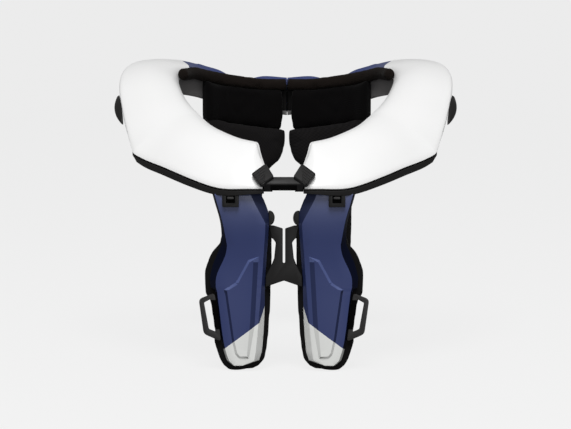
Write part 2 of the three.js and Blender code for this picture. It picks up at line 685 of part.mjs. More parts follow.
function frontClip() {
  const { halfLength, length, lowest, thickness, round } = CLIP_BAR;
  const { innerX, lowest: footLowest, length: footLength } = CLIP_FOOT;
  const bar = roundedOutline(rectangle(-length / 2, length / 2, lowest, lowest + thickness), round);
  const foot = roundedOutline(rectangle(-length / 2, footLength - length / 2, footLowest, 0), round);
  return joined([
    clipBlock(bar, -halfLength, halfLength), clipBlock(foot, innerX, halfLength),
    clipBlock(foot, -halfLength, -innerX), clipTab(1), clipTab(-1),
  ]);
}

// An upright cylinder on the hinge's axis
function onHinge(radius, footZ, topZ) {
  const geometry = new THREE.CylinderGeometry(radius, radius, topZ - footZ, KNUCKLE_SIDES);
  geometry.rotateX(Math.PI / 2);
  geometry.translate(0, HINGE.y, (footZ + topZ) / 2);
  return plain(geometry);
}

function uprightBox(x0, x1, y0, y1, z0, z1) {
  const geometry = new THREE.BoxGeometry(x1 - x0, y1 - y0, z1 - z0);
  geometry.translate((x0 + x1) / 2, (y0 + y1) / 2, (z0 + z1) / 2);
  return plain(geometry);
}

// A leaf on the shell's back, and the knuckles that it holds at the given levels
function hingeLeaf(side, levels) {
  const { frontY, thickness, innerX, outerX, bridgeOverlap, bridgeStep } = LEAF;
  const span = (x0, x1) => (side > 0 ? [x0, x1] : [-x1, -x0]);
  const plate = uprightBox(...span(innerX, outerX), frontY, frontY + thickness, HINGE.footZ, HINGE.topZ);
  const knuckles = levels.flatMap(([footZ, topZ]) => [
    onHinge(HINGE.radius, footZ, topZ),
    uprightBox(...span(0, innerX + bridgeOverlap), frontY + bridgeStep, frontY + thickness, footZ, topZ),
  ]);
  const whole = [plate, ...knuckles].map(solidOf).reduce((a, b) => a.add(b));
  return geometryOf(whole.subtract(solidOf(onHinge(HINGE.bore, HINGE.footZ - GAP, HINGE.topZ + GAP))));
}

const brace = new THREE.Group();
brace.name = "neck_brace";
brace.position.y = -CENTRE_Y;

function add(name, geometry, material) {
  const mesh = new THREE.Mesh(geometry, material);
  mesh.name = name;
  brace.add(mesh);
}

const PAIRED = [
  ["collar_panel", collarPanel, WHITE],
  ["collar_tray", collarTray, BLACK],
  ["side_bumper", sideBumper, BLACK],
  ["rear_shell", rearShell, BLUE],
  ["rear_frame", rearFrame, DARK_GREY],
  ["rim_roll", rimRoll, FOAM],
  ["rear_pad", rearPad, FOAM],
  ["wing_pad", wingPad, FOAM],
  ["wing_plate", wingPlate, BLUE],
  ["leg_plate", legPlate, BLUE],
  ["leg_pad", legPad, FOAM],
  ["leg_loop", legLoop, BLACK],
  ["leg_buckle", legBuckle, BLACK],
  ["buckle_tongue", buckleTongue, BLACK],
  ["web_knob", webKnob, BLACK],
];
for (const [name, build, material] of PAIRED) {
  add(`${name}_right`, build(), material);
  add(`${name}_left`, mirrored(build()), material);
}
add("front_clip", frontClip(), BLACK);
add("chest_web", chestWeb(), BLACK);
const { second, third } = KNUCKLE_LEVELS;
add("hinge_leaf_left", hingeLeaf(-1, [[HINGE.footZ, second - GAP], [third + GAP, HINGE.topZ]]), BLACK);
add("hinge_leaf_right", hingeLeaf(1, [[second, third]]), BLACK);
add("hinge_pin", onHinge(HINGE.pin, HINGE.footZ, HINGE.topZ), STEEL);

export default brace;
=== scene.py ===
"""Looks of a rider's neck brace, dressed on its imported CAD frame.

The frame is in metres: +Z up, the chest towards -Y, the floor at Z = 0.
"""

import logging
import math
from dataclasses import dataclass
from enum import Enum
from typing import Callable

import bmesh
import bpy
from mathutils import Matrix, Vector
from mathutils.bvhtree import BVHTree
from mathutils.geometry import intersect_point_line


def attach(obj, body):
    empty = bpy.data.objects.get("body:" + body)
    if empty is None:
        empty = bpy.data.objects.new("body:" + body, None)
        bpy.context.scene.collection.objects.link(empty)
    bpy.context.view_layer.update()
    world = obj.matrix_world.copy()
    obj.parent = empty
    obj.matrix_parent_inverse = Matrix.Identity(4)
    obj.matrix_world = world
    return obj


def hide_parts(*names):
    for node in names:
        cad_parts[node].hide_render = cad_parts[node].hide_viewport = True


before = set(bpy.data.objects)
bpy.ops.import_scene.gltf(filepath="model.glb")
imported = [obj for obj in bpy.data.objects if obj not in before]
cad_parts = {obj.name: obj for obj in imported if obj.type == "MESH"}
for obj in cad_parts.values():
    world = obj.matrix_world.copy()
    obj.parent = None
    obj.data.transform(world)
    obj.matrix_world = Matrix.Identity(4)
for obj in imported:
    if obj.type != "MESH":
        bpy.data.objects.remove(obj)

LOG = logging.getLogger("neck_brace")
MM = 0.001
PAINTED_LIGHT = "facet"  # the attribute that holds a face's painted shade, below 0 for a painted highlight
NECK_Y = -0.0031  # the neck's axis
NEAR = 0.1 * MM  # levels this close count as one
FAR_IN_FRONT = -1.0  # a Y well before the whole brace
UP = Vector((0.0, 0.0, 1.0))
Colour = tuple[float, float, float]
Weight = Callable[[Vector], float]


class Side(Enum):
    """One half of the brace, by the sign of its X."""

    LEFT = -1
    RIGHT = 1

    @property
    def suffix(self) -> str:
        """The ending of this half's names."""
        return self.name.lower()

    @property
    def body(self) -> str:
        """The CAD body that this half's pieces ride on."""
        return f"{self.suffix}_half"

    def named(self, stem: str) -> str:
        """A node's or piece's name on this half."""
        return f"{stem}_{self.suffix}"


class Graph:
    """Short forms for building a node tree."""

    def __init__(self, tree: bpy.types.NodeTree) -> None:
        """Takes the tree to build in."""
        self.tree = tree

    def add(self, kind: str, inputs: dict | None = None, **settings: object) -> bpy.types.Node:
        """Adds a node.

        Args:
            kind: the node's type name.
            inputs: values or sockets by input name or number.
            settings: the node's own properties.

        Returns:
            The new node.
        """
        node = self.tree.nodes.new(kind)
        for key, value in settings.items():
            setattr(node, key, value)
        for key, value in (inputs or {}).items():
            if isinstance(value, bpy.types.NodeSocket):
                self.tree.links.new(value, node.inputs[key])
            else:
                node.inputs[key].default_value = value
        return node

    def math(self, operation: str, first: object, second: object = 0.0) -> bpy.types.NodeSocket:
        """The output of a math node on two values or sockets."""
        return self.add("ShaderNodeMath", {0: first, 1: second}, operation=operation).outputs[0]

    def span(self, value: object, low: float, high: float) -> bpy.types.NodeSocket:
        """A value from 0 to 1 spread over low to high."""
        return self.add("ShaderNodeMapRange", {"Value": value, "To Min": low, "To Max": high}).outputs[0]

    def blend(self, mask: bpy.types.NodeSocket, first: object, second: object) -> bpy.types.NodeSocket:
        """A colour that turns from one to another.

        Args:
            mask: 0 for the first and 1 for the second.
            first: a colour or a socket.
            second: a colour or a socket.

        Returns:
            The colour's socket.
        """
        mix = self.add("ShaderNodeMix", {0: mask}, data_type="RGBA")
        for socket, colour in zip([s for s in mix.inputs if s.type == "RGBA"], (first, second)):
            if isinstance(colour, bpy.types.NodeSocket):
                self.tree.links.new(colour, socket)
            else:
                socket.default_value = (*colour, 1.0)
        return next(s for s in mix.outputs if s.type == "RGBA")

    def spot(self) -> bpy.types.NodeSocket:
        """The point being shaded, in the object's own coordinates."""
        return self.add("ShaderNodeTexCoord").outputs["Object"]

    def parts(self) -> bpy.types.NodeOutputs:
        """The X, Y and Z of the point being shaded."""
        return self.add("ShaderNodeSeparateXYZ", {0: self.spot()}).outputs

    def facet(self) -> bpy.types.NodeSocket:
        """How much shade is painted on the face, below 0 for a painted highlight."""
        return self.add("ShaderNodeAttribute", attribute_name=PAINTED_LIGHT).outputs["Fac"]

    def noise(self, scale: object, detail: float, roughness: float) -> bpy.types.NodeSocket:
        """Cloudy noise round the point being shaded."""
        values = {"Vector": self.spot(), "Scale": scale, "Detail": detail, "Roughness": roughness}
        return self.add("ShaderNodeTexNoise", values).outputs[0]

    def bump(
        self, height: object, distance: float, strength: object, under: bpy.types.NodeSocket | None = None
    ) -> bpy.types.NodeSocket:
        """The normal of a raised surface.

        Args:
            height: the height from 0 to 1.
            distance: the full rise, in metres.
            strength: the share of the rise that shows.
            under: the normal of the surface under it, where that has one.

        Returns:
            The normal's socket.
        """
        values = {"Height": height, "Distance": distance, "Strength": strength}
        if under is not None:
            values["Normal"] = under
        return self.add("ShaderNodeBump", values).outputs[0]


class SharedGroups:
    """The surface effects that several finishes share, each a node group."""

    RISE = 0.0004  # the full height of a bump, in metres

    def __init__(self) -> None:
        """Builds the groups."""
        self.grain = self._grain()
        self.scuff = self._scuff()
        self.weave = self._weave()

    @staticmethod
    def _new(
        name: str, inputs: dict[str, float], outputs: dict[str, str]
    ) -> tuple[Graph, dict[str, bpy.types.NodeSocket], bpy.types.Node]:
        """Starts a group.

        Args:
            name: the group's name.
            inputs: each number input with its default.
            outputs: each output with its socket type.

        Returns:
            The group's graph, its input sockets by name and its output node.
        """
        tree = bpy.data.node_groups.new(name, "ShaderNodeTree")
        for key, value in inputs.items():
            socket = tree.interface.new_socket(key, in_out="INPUT", socket_type="NodeSocketFloat")
            socket.default_value = value
        for key, kind in outputs.items():
            tree.interface.new_socket(key, in_out="OUTPUT", socket_type=kind)
        graph = Graph(tree)
        source = graph.add("NodeGroupInput")
        return graph, {key: source.outputs[key] for key in inputs}, graph.add("NodeGroupOutput")

    def _grain(self) -> bpy.types.NodeTree:
        """The fine grain of a mould's surface, as a normal.

        Returns:
            The group.
        """
        graph, given, out = self._new(
            "mould_grain", {"Scale": 900.0, "Strength": 0.15}, {"Normal": "NodeSocketVector"}
        )
        fine = graph.noise(given["Scale"], detail=3.0, roughness=0.6)
        graph.tree.links.new(graph.bump(fine, self.RISE, given["Strength"]), out.inputs["Normal"])
        return graph.tree

    def _scuff(self) -> bpy.types.NodeTree:
        """Broad handling marks, as a value from 0 to 1.

        Returns:
            The group.
        """
        graph, given, out = self._new("handling_scuff", {"Scale": 18.0}, {"Value": "NodeSocketFloat"})
        broad = graph.noise(given["Scale"], detail=6.0, roughness=0.62)
        spread = graph.add("ShaderNodeMapRange", {"Value": broad, "From Min": 0.35, "From Max": 0.7})
        graph.tree.links.new(spread.outputs[0], out.inputs["Value"])
        return graph.tree

    def _weave(self) -> bpy.types.NodeTree:
        """A plain weave of two thread directions, as a normal and a thread height from 0 to 1.

        Returns:
            The group.
        """
        graph, given, out = self._new(
            "plain_weave",
            {"Thread": 0.0009, "Strength": 0.5},
            {"Normal": "NodeSocketVector", "Value": "NodeSocketFloat"},
        )
        parts = graph.parts()
        turn = graph.math("DIVIDE", math.tau / 2, given["Thread"])
        across = graph.math("SINE", graph.math("MULTIPLY", graph.math("ADD", parts[0], parts[1]), turn))
        upward = graph.math("SINE", graph.math("MULTIPLY", parts[2], turn))
        crossing = graph.math("MULTIPLY", across, upward)
        height = graph.add("ShaderNodeMapRange", {"Value": crossing, "From Min": -1.0}).outputs[0]
        graph.tree.links.new(graph.bump(height, self.RISE, given["Strength"]), out.inputs["Normal"])
        graph.tree.links.new(height, out.inputs["Value"])
        return graph.tree


@dataclass(frozen=True)
class Finish:
    """A finish: its material's name and the record's slot that it stands for.

    A finish's own lengths and places are in metres, as its nodes read them.
    """

    name: str
    slot: str

    def start(self) -> tuple[bpy.types.Material, Graph, bpy.types.Node]:
        """Starts the finish's material.

        Returns:
            The material, its graph and its surface shader.
        """
        material = bpy.data.materials.new(self.name)
        material.use_nodes = True
        graph = Graph(material.node_tree)
        return material, graph, material.node_tree.nodes["Principled BSDF"]

    def material(self, groups: SharedGroups) -> bpy.types.Material:
        """The finish as a material."""
        raise NotImplementedError


@dataclass(frozen=True)
class MouldedPlastic(Finish):
    """Moulded plastic with a fine grain and handling marks."""

    colour: Colour
    roughness: float = 0.4
    scuff: float = 0.1
    grain: float = 0.1
    grain_scale: float = 900.0
    specular: float = 0.5
    rib_height: float = 0.0003

    def base(self, graph: Graph) -> bpy.types.NodeSocket | None:
        """The varying base colour, where there is one."""
        return None

    def gloss(self, graph: Graph) -> bpy.types.NodeSocket | None:
        """The varying specular level, where there is one."""
        return None

    def ribs(self, graph: Graph) -> bpy.types.NodeSocket | None:
        """The height of moulded ribs from 0 to 1, where there are any."""
        return None

    def material(self, groups: SharedGroups) -> bpy.types.Material:
        """The plastic as a material.

        Args:
            groups: the shared effects.

        Returns:
            The material.
        """
        material, graph, shader = self.start()
        shader.inputs["Base Color"].default_value = (*self.colour, 1.0)
        shader.inputs["Specular IOR Level"].default_value = self.specular
        for varied, name in ((self.base(graph), "Base Color"), (self.gloss(graph), "Specular IOR Level")):
            if varied is not None:
                graph.tree.links.new(varied, shader.inputs[name])
        marks = graph.add("ShaderNodeGroup", node_tree=groups.scuff)
        half = self.scuff / 2
        rough = graph.span(marks.outputs["Value"], self.roughness - half, self.roughness + half)
        graph.tree.links.new(rough, shader.inputs["Roughness"])
        grain = graph.add(
            "ShaderNodeGroup", {"Scale": self.grain_scale, "Strength": self.grain}, node_tree=groups.grain
        )
        surface = grain.outputs["Normal"]
        height = self.ribs(graph)
        if height is not None:
            surface = graph.bump(height, self.rib_height, 1.0, under=surface)
        graph.tree.links.new(surface, shader.inputs["Normal"])
        return material


@dataclass(frozen=True)
class GripPlastic(MouldedPlastic):
    """Plastic with fine slanted grip ribs on its two outer ends, and painted shade in a recess low in its
    middle.
    """

    pitch: float = 0.0019
    slant: tuple[float, float] = (0.58, 0.81)
    grip_from: float = 0.0155
    recess_half: float = 0.0112
    recess_top: float = 0.1612
    # the share of the colour that is left in the painted shade of the recess
    painted_recess_shade: float = 0.2

    def _recess(self, graph: Graph) -> bpy.types.NodeSocket:
        """A mask of the recess, where shade is painted.

        Args:
            graph: the material's graph.

        Returns:
            The mask's socket.
        """
        parts = graph.parts()
        near = graph.math("LESS_THAN", graph.math("ABSOLUTE", parts[0]), self.recess_half)
        return graph.math("MULTIPLY", near, graph.math("LESS_THAN", parts[2], self.recess_top))

    def base(self, graph: Graph) -> bpy.types.NodeSocket | None:
        """The plastic's colour, with painted shade in the recess."""
        shade_colour = tuple(c * self.painted_recess_shade for c in self.colour)
        return graph.blend(self._recess(graph), self.colour, shade_colour)

    def gloss(self, graph: Graph) -> bpy.types.NodeSocket | None:
        """The specular level, lower where the recess's shade is painted."""
        return graph.span(self._recess(graph), self.specular, self.specular * self.painted_recess_shade)

    def ribs(self, graph: Graph) -> bpy.types.NodeSocket | None:
        """Rounded ribs across the slant, beyond the grip's inner line.

        Args:
            graph: the material's graph.

        Returns:
            The height's socket.
        """
        parts = graph.parts()
        side = graph.math("ABSOLUTE", parts[0])
        aside = graph.math("MULTIPLY", side, self.slant[0])
        across = graph.math("ADD", aside, graph.math("MULTIPLY", parts[2], self.slant[1]))
        wave = graph.math("SINE", graph.math("MULTIPLY", across, math.tau / self.pitch))
        return graph.math("MULTIPLY", wave, graph.math("GREATER_THAN", side, self.grip_from))


@dataclass(frozen=True)
class TippedPlastic(MouldedPlastic):
    """Plastic with a second colour on its lower tip, under a slanted line, with painted shade on its
    facets, a painted highlight on its relief's ridge and a painted sheen near its top.
    """

    tip: Colour = (0.8, 0.81, 0.79)
    # the share of the colour that is left in the painted shade on the facets
    facet_tone: float = 0.1
    facet_gloss: float = 0.1
    # the share of the tip's colour that is left in the painted shade on its facets
    tip_facet_tone: float = 0.6
    # the colour of the painted highlight on the relief's ridge
    ridge: Colour = (0.065, 0.09, 0.235)
    # the colour of a painted sheen near the top, over the span of heights below
    bloom: Colour = (0.06, 0.076, 0.175)
    painted_sheen_span: tuple[float, float] = (0.112, 0.15)
    corner: tuple[float, float] = (0.0208, 0.042)
    outer_slope: float = 0.75
    inner_slope: float = 3.2

    def base(self, graph: Graph) -> bpy.types.NodeSocket | None:
        """The tip's colour under the higher of two lines that meet at the corner, over the main colour with
        its painted sheen, painted shade and painted highlight.

        Args:
            graph: the material's graph.

        Returns:
            The colour's socket.
        """
        parts = graph.parts()
        inward = graph.math("SUBTRACT", self.corner[0], graph.math("ABSOLUTE", parts[0]))
        lines = [graph.math("MULTIPLY", inward, slope) for slope in (self.outer_slope, self.inner_slope)]
        height = graph.math("SUBTRACT", parts[2], self.corner[1])
        mask = graph.math("LESS_THAN", height, graph.math("MAXIMUM", *lines))
        facet = graph.facet()
        # a painted sheen that rises towards the leg's top
        low, high = self.painted_sheen_span
        rise = graph.add(
            "ShaderNodeMapRange",
            {"Value": parts[2], "From Min": low, "From Max": high},
            interpolation_type="SMOOTHSTEP",
        )
        face = graph.blend(rise.outputs[0], self.colour, self.bloom)
        # painted shade on the facets
        shaded = graph.blend(facet, face, tuple(c * self.facet_tone for c in self.colour))
        # a painted highlight on the relief's ridge, where the mark is below 0
        main = graph.blend(graph.math("MULTIPLY", facet, -1.0), shaded, self.ridge)
        # the tip, with painted shade on its facets
        tip = graph.blend(facet, self.tip, tuple(c * self.tip_facet_tone for c in self.tip))
        return graph.blend(mask, main, tip)

    def gloss(self, graph: Graph) -> bpy.types.NodeSocket | None:
        """The specular level, lower on the facets where shade is painted."""
        return graph.span(graph.facet(), self.specular, self.specular * self.facet_gloss)


@dataclass(frozen=True)
class PocketPlastic(MouldedPlastic):
    """Plastic with painted shade in its pockets."""

    # the share of the colour that is left in the painted shade of the pockets
    painted_pocket_shade: float = 0.1

    def base(self, graph: Graph) -> bpy.types.NodeSocket | None:
        """The plastic's colour, with painted shade on the marked faces."""
        shade_colour = tuple(c * self.painted_pocket_shade for c in self.colour)
        return graph.blend(graph.facet(), self.colour, shade_colour)

    def gloss(self, graph: Graph) -> bpy.types.NodeSocket | None:
        """The specular level, lower on the faces where shade is painted."""
        return graph.span(graph.facet(), self.specular, self.specular * self.painted_pocket_shade)


@dataclass(frozen=True)
class LoopPlastic(MouldedPlastic):
    """Plastic of the strap loops, whose inner bar has the pad's black cover."""

    cover: Colour = (0.003, 0.0028, 0.003)
    foot: tuple[float, float] = (0.0588, 0.036)
    top: tuple[float, float] = (0.0624, 0.0612)

    def _bar(self, graph: Graph) -> bpy.types.NodeSocket:
        """A mask of the inner bar.

        Args:
            graph: the material's graph.

        Returns:
            The mask's socket.
        """
        parts = graph.parts()
        lean = (self.top[0] - self.foot[0]) / (self.top[1] - self.foot[1])
        slid = graph.math("MULTIPLY", graph.math("SUBTRACT", parts[2], self.foot[1]), lean)
        across = graph.math("SUBTRACT", graph.math("ABSOLUTE", parts[0]), slid)
        mask = graph.math("LESS_THAN", across, self.foot[0])
        mask = graph.math("MULTIPLY", mask, graph.math("GREATER_THAN", parts[2], self.foot[1]))
        return graph.math("MULTIPLY", mask, graph.math("LESS_THAN", parts[2], self.top[1]))

    def base(self, graph: Graph) -> bpy.types.NodeSocket | None:
        """The cover's colour on the inner bar, and the plastic's elsewhere."""
        return graph.blend(self._bar(graph), self.colour, self.cover)

    def gloss(self, graph: Graph) -> bpy.types.NodeSocket | None:
        """No gloss on the cover."""
        return graph.span(self._bar(graph), self.specular, 0.0)


@dataclass(frozen=True)
class PadShadowPlastic(MouldedPlastic):
    """Plastic with painted shade near the middle, above a level, where it lies in shadow between the pads.
    """

    # the colour of the painted shade where the wall lies in shadow between the pads
    lining: Colour = (0.0012, 0.0011, 0.0011)
    half_width: float = 0.07
    level: float = 0.2135

    def base(self, graph: Graph) -> bpy.types.NodeSocket | None:
        """The painted shade's colour between the pads, and the plastic's elsewhere.

        Args:
            graph: the material's graph.

        Returns:
            The colour's socket.
        """
        parts = graph.parts()
        near = graph.math("LESS_THAN", graph.math("ABSOLUTE", parts[0]), self.half_width)
        mask = graph.math("MULTIPLY", near, graph.math("GREATER_THAN", parts[2], self.level))
        return graph.blend(mask, self.colour, self.lining)


@dataclass(frozen=True)
class PadFabric(Finish):
    """Woven fabric over foam."""

    colour: Colour
    thread: float = 0.0009
    strength: float = 0.5
    roughness: float = 0.9
    sheen: float = 0.02
    lift: float = 1.8
    sheen_roughness: float = 0.5
    specular: float = 0.08

    def material(self, groups: SharedGroups) -> bpy.types.Material:
        """The fabric as a material.

        Args:
            groups: the shared effects.

        Returns:
            The material.
        """
        material, graph, shader = self.start()
        shader.inputs["Roughness"].default_value = self.roughness
        shader.inputs["Sheen Weight"].default_value = self.sheen
        shader.inputs["Sheen Roughness"].default_value = self.sheen_roughness
        shader.inputs["Specular IOR Level"].default_value = self.specular
        weave = graph.add(
            "ShaderNodeGroup", {"Thread": self.thread, "Strength": self.strength}, node_tree=groups.weave
        )
        graph.tree.links.new(weave.outputs["Normal"], shader.inputs["Normal"])
        raised = tuple(c * self.lift for c in self.colour)
        threads = graph.blend(weave.outputs["Value"], self.colour, raised)
        graph.tree.links.new(threads, shader.inputs["Base Color"])
        return material


@dataclass(frozen=True)
class TurnedSteel(Finish):
    """Plain turned steel."""

    colour: Colour = (0.5, 0.5, 0.5)
    roughness: float = 0.3
    scuff: float = 0.08
    scuff_scale: float = 120.0

    def material(self, groups: SharedGroups) -> bpy.types.Material:
        """The steel as a material.

        Args:
            groups: the shared effects.

        Returns:
            The material.
        """
        material, graph, shader = self.start()
        shader.inputs["Base Color"].default_value = (*self.colour, 1.0)
        shader.inputs["Metallic"].default_value = 1.0
        marks = graph.add("ShaderNodeGroup", {"Scale": self.scuff_scale}, node_tree=groups.scuff)
        rough = graph.span(marks.outputs["Value"], self.roughness - self.scuff, self.roughness + self.scuff)
        graph.tree.links.new(rough, shader.inputs["Roughness"])
        return material


MATT = {"roughness": 0.5, "scuff": 0.12, "grain": 0.25, "grain_scale": 1100.0}


class Look(Enum):
    """The finishes of the brace."""

    WHITE = MouldedPlastic("white_panel", "white_plastic", (0.86, 0.86, 0.858), 0.38, 0.08, 0.04, 700.0)
    BLUE = MouldedPlastic("blue_shell", "blue_plastic", (0.03, 0.045, 0.15), 0.4, 0.1, 0.08)
    LEG = TippedPlastic("blue_leg", "blue_plastic", (0.028, 0.043, 0.145), 0.4, 0.1, 0.08)
    BLACK = MouldedPlastic("black_mould", "black_plastic", (0.009, 0.0085, 0.0085), **MATT, specular=0.25)
    BUCKLE = PocketPlastic("black_buckle", "black_plastic", (0.008, 0.0078, 0.0078), **MATT, specular=0.2)
    TONGUE = MouldedPlastic("grey_tongue", "black_plastic", (0.03, 0.029, 0.029), **MATT, specular=0.3)
    LOOP = LoopPlastic("black_loop", "black_plastic", (0.024, 0.023, 0.023), **MATT, specular=0.3)
    GRIP = GripPlastic("black_grip", "black_plastic", (0.01, 0.0095, 0.0095), **MATT, specular=0.25)
    GREY = PadShadowPlastic(
        "grey_mould", "grey_plastic", (0.16, 0.155, 0.155), **(MATT | {"roughness": 0.65}), specular=0.12
    )
    PAD = PadFabric("black_pad", "foam_fabric", (0.001, 0.0008, 0.0009))
    WING = PadFabric("ribbed_pad", "foam_fabric", (0.0055, 0.005, 0.0052), 0.0016)
    LINING = PadFabric("lining", "foam_fabric", (0.006, 0.0043, 0.0035), 0.0008)
    FOAM = PadFabric("leg_foam", "foam_fabric", (0.004, 0.0038, 0.004), 0.0005, 0.2, 0.7)
    STEEL = TurnedSteel("steel_pin", "steel")


class Skin:
    """A clean copy of a CAD node's skin, held until it becomes a piece."""

    MERGE = 1e-6
    FACE_LIMIT = math.radians(40)
    SHAPE_LIMIT = math.radians(80)
    FLAT_LIMIT = math.radians(0.5)
    END_COSINE = 0.86
    CREASE = "crease_edge"

    def __init__(self, node: str) -> None:
        """Copies the node's mesh and merges its loose triangles.

        Args:
            node: the CAD node's name.
        """
        self.node = node
        self.bm = bmesh.new()
        self.bm.from_mesh(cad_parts[node].data)
        bmesh.ops.remove_doubles(self.bm, verts=self.bm.verts[:], dist=self.MERGE)

    def whole_ends(self) -> "Skin":
        """Makes each flat end of a run round the neck one face.

        Returns:
            The same skin.
        """
        ends = []
        for face in self.bm.faces:
            spot = face.calc_center_median()
            round_neck = Vector((-spot.y, spot.x, 0)).normalized()
            if abs(face.normal.dot(round_neck)) > self.END_COSINE:
                ends.append(face)
        if ends:
            bmesh.ops.dissolve_faces(self.bm, faces=ends)
        return self

    def quads(self) -> "Skin":
        """Joins the triangles into four-sided faces.

        Returns:
            The same skin.
        """
        bmesh.ops.join_triangles(
            self.bm,
            faces=self.bm.faces[:],
            angle_face_threshold=self.FACE_LIMIT,
            angle_shape_threshold=self.SHAPE_LIMIT,
        )
        return self

    def crease(self, limit: float, weight: Weight = lambda spot: 1.0) -> "Skin":
        """Marks the edges that stay crisp when the skin is subdivided.

        Args:
            limit: the smallest angle of a crisp edge, in degrees.
            weight: how crisp an edge is, by its middle point.

        Returns:
            The same skin.
        """
        layer = self.bm.edges.layers.float.new(self.CREASE)
        for edge in self.bm.edges:
            if edge.is_manifold and edge.calc_face_angle() > math.radians(limit):
                edge[layer] = weight((edge.verts[0].co + edge.verts[1].co) / 2)
        return self

    def flat_faces(self) -> "Skin":
        """Joins the triangles of each flat face into one face."""
        bmesh.ops.dissolve_limit(self.bm, angle_limit=self.FLAT_LIMIT, verts=[], edges=self.bm.edges[:])
        return self


class Workshop:
    """Turns skins and meshes into pieces that ride on the CAD bodies."""

    def __init__(self) -> None:
        """Makes each finish's material."""
        groups = SharedGroups()
        self.materials = {look: look.value.material(groups) for look in Look}

    def piece(
        self, name: str, source: bmesh.types.BMesh | bpy.types.Mesh, look: Look, body: str, *nodes: str
    ) -> bpy.types.Object:
        """Makes a piece.

        Args:
            name: the piece's name.
            source: its skin, which is freed, or its mesh.
            look: its finish.
            body: the CAD body that it rides on.
            nodes: the CAD nodes that it stands for.

        Returns:
            The piece's object.
        """
        if isinstance(source, bmesh.types.BMesh):
            mesh = bpy.data.meshes.new(name)
            bmesh.ops.recalc_face_normals(source, faces=source.faces[:])
            source.to_mesh(mesh)
            source.free()
        else:
            mesh = source
        mesh.materials.clear()
        mesh.materials.append(self.materials[look])
        mesh.polygons.foreach_set("use_smooth", [True] * len(mesh.polygons))
        piece = bpy.data.objects.new(name, mesh)
        bpy.context.scene.collection.objects.link(piece)
        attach(piece, body)
        if nodes:
            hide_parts(*nodes)
        LOG.info("%s: %d faces, %s", name, len(mesh.polygons), look.value.name)
        return piece

    @staticmethod
    def subdivide(piece: bpy.types.Object, levels: int) -> None:
        """Rounds a piece by subdivision."""
        modifier = piece.modifiers.new("rounding", "SUBSURF")
        modifier.levels = modifier.render_levels = levels

    @staticmethod
    def soften(piece: bpy.types.Object, width: float, limit: float = 40.0, segments: int = 2) -> None:
        """Rounds a piece's crisp edges.

        Args:
            piece: the piece.
            width: the width of the round, in millimetres.
            limit: the smallest angle of an edge that is rounded, in degrees.
            segments: the steps in the round.
        """
        modifier = piece.modifiers.new("edges", "BEVEL")
        modifier.width = width * MM
        modifier.segments = segments
        modifier.limit_method = "ANGLE"
        modifier.angle_limit = math.radians(limit)
        modifier.use_clamp_overlap = True
        modifier.harden_normals = True

    def mould(self, skin: Skin, name: str, look: Look, side: Side, levels: int) -> bpy.types.Object:
        """A rounded piece of one half.

        Args:
            skin: its creased skin, which is freed.
            name: the piece's name without its half.
            look: its finish.
            side: its half.
            levels: the steps of subdivision.

        Returns:
            The piece's object.
        """
        piece = self.piece(side.named(name), skin.bm, look, side.body, skin.node)
        self.subdivide(piece, levels)
        return piece

    def slab(self, node: str, look: Look, body: str, name: str, width: float) -> bpy.types.Object:
        """A flat moulded piece with softened edges.

        Args:
            node: the CAD node that it stands for.
            look: its finish.
            body: the CAD body that it rides on.
            name: the piece's name.
            width: the width of the soft edge, in millimetres.

        Returns:
            The piece's object.
        """
        piece = self.piece(name, Skin(node).flat_faces().bm, look, body, node)
        self.soften(piece, width, limit=30.0, segments=3)
        return piece


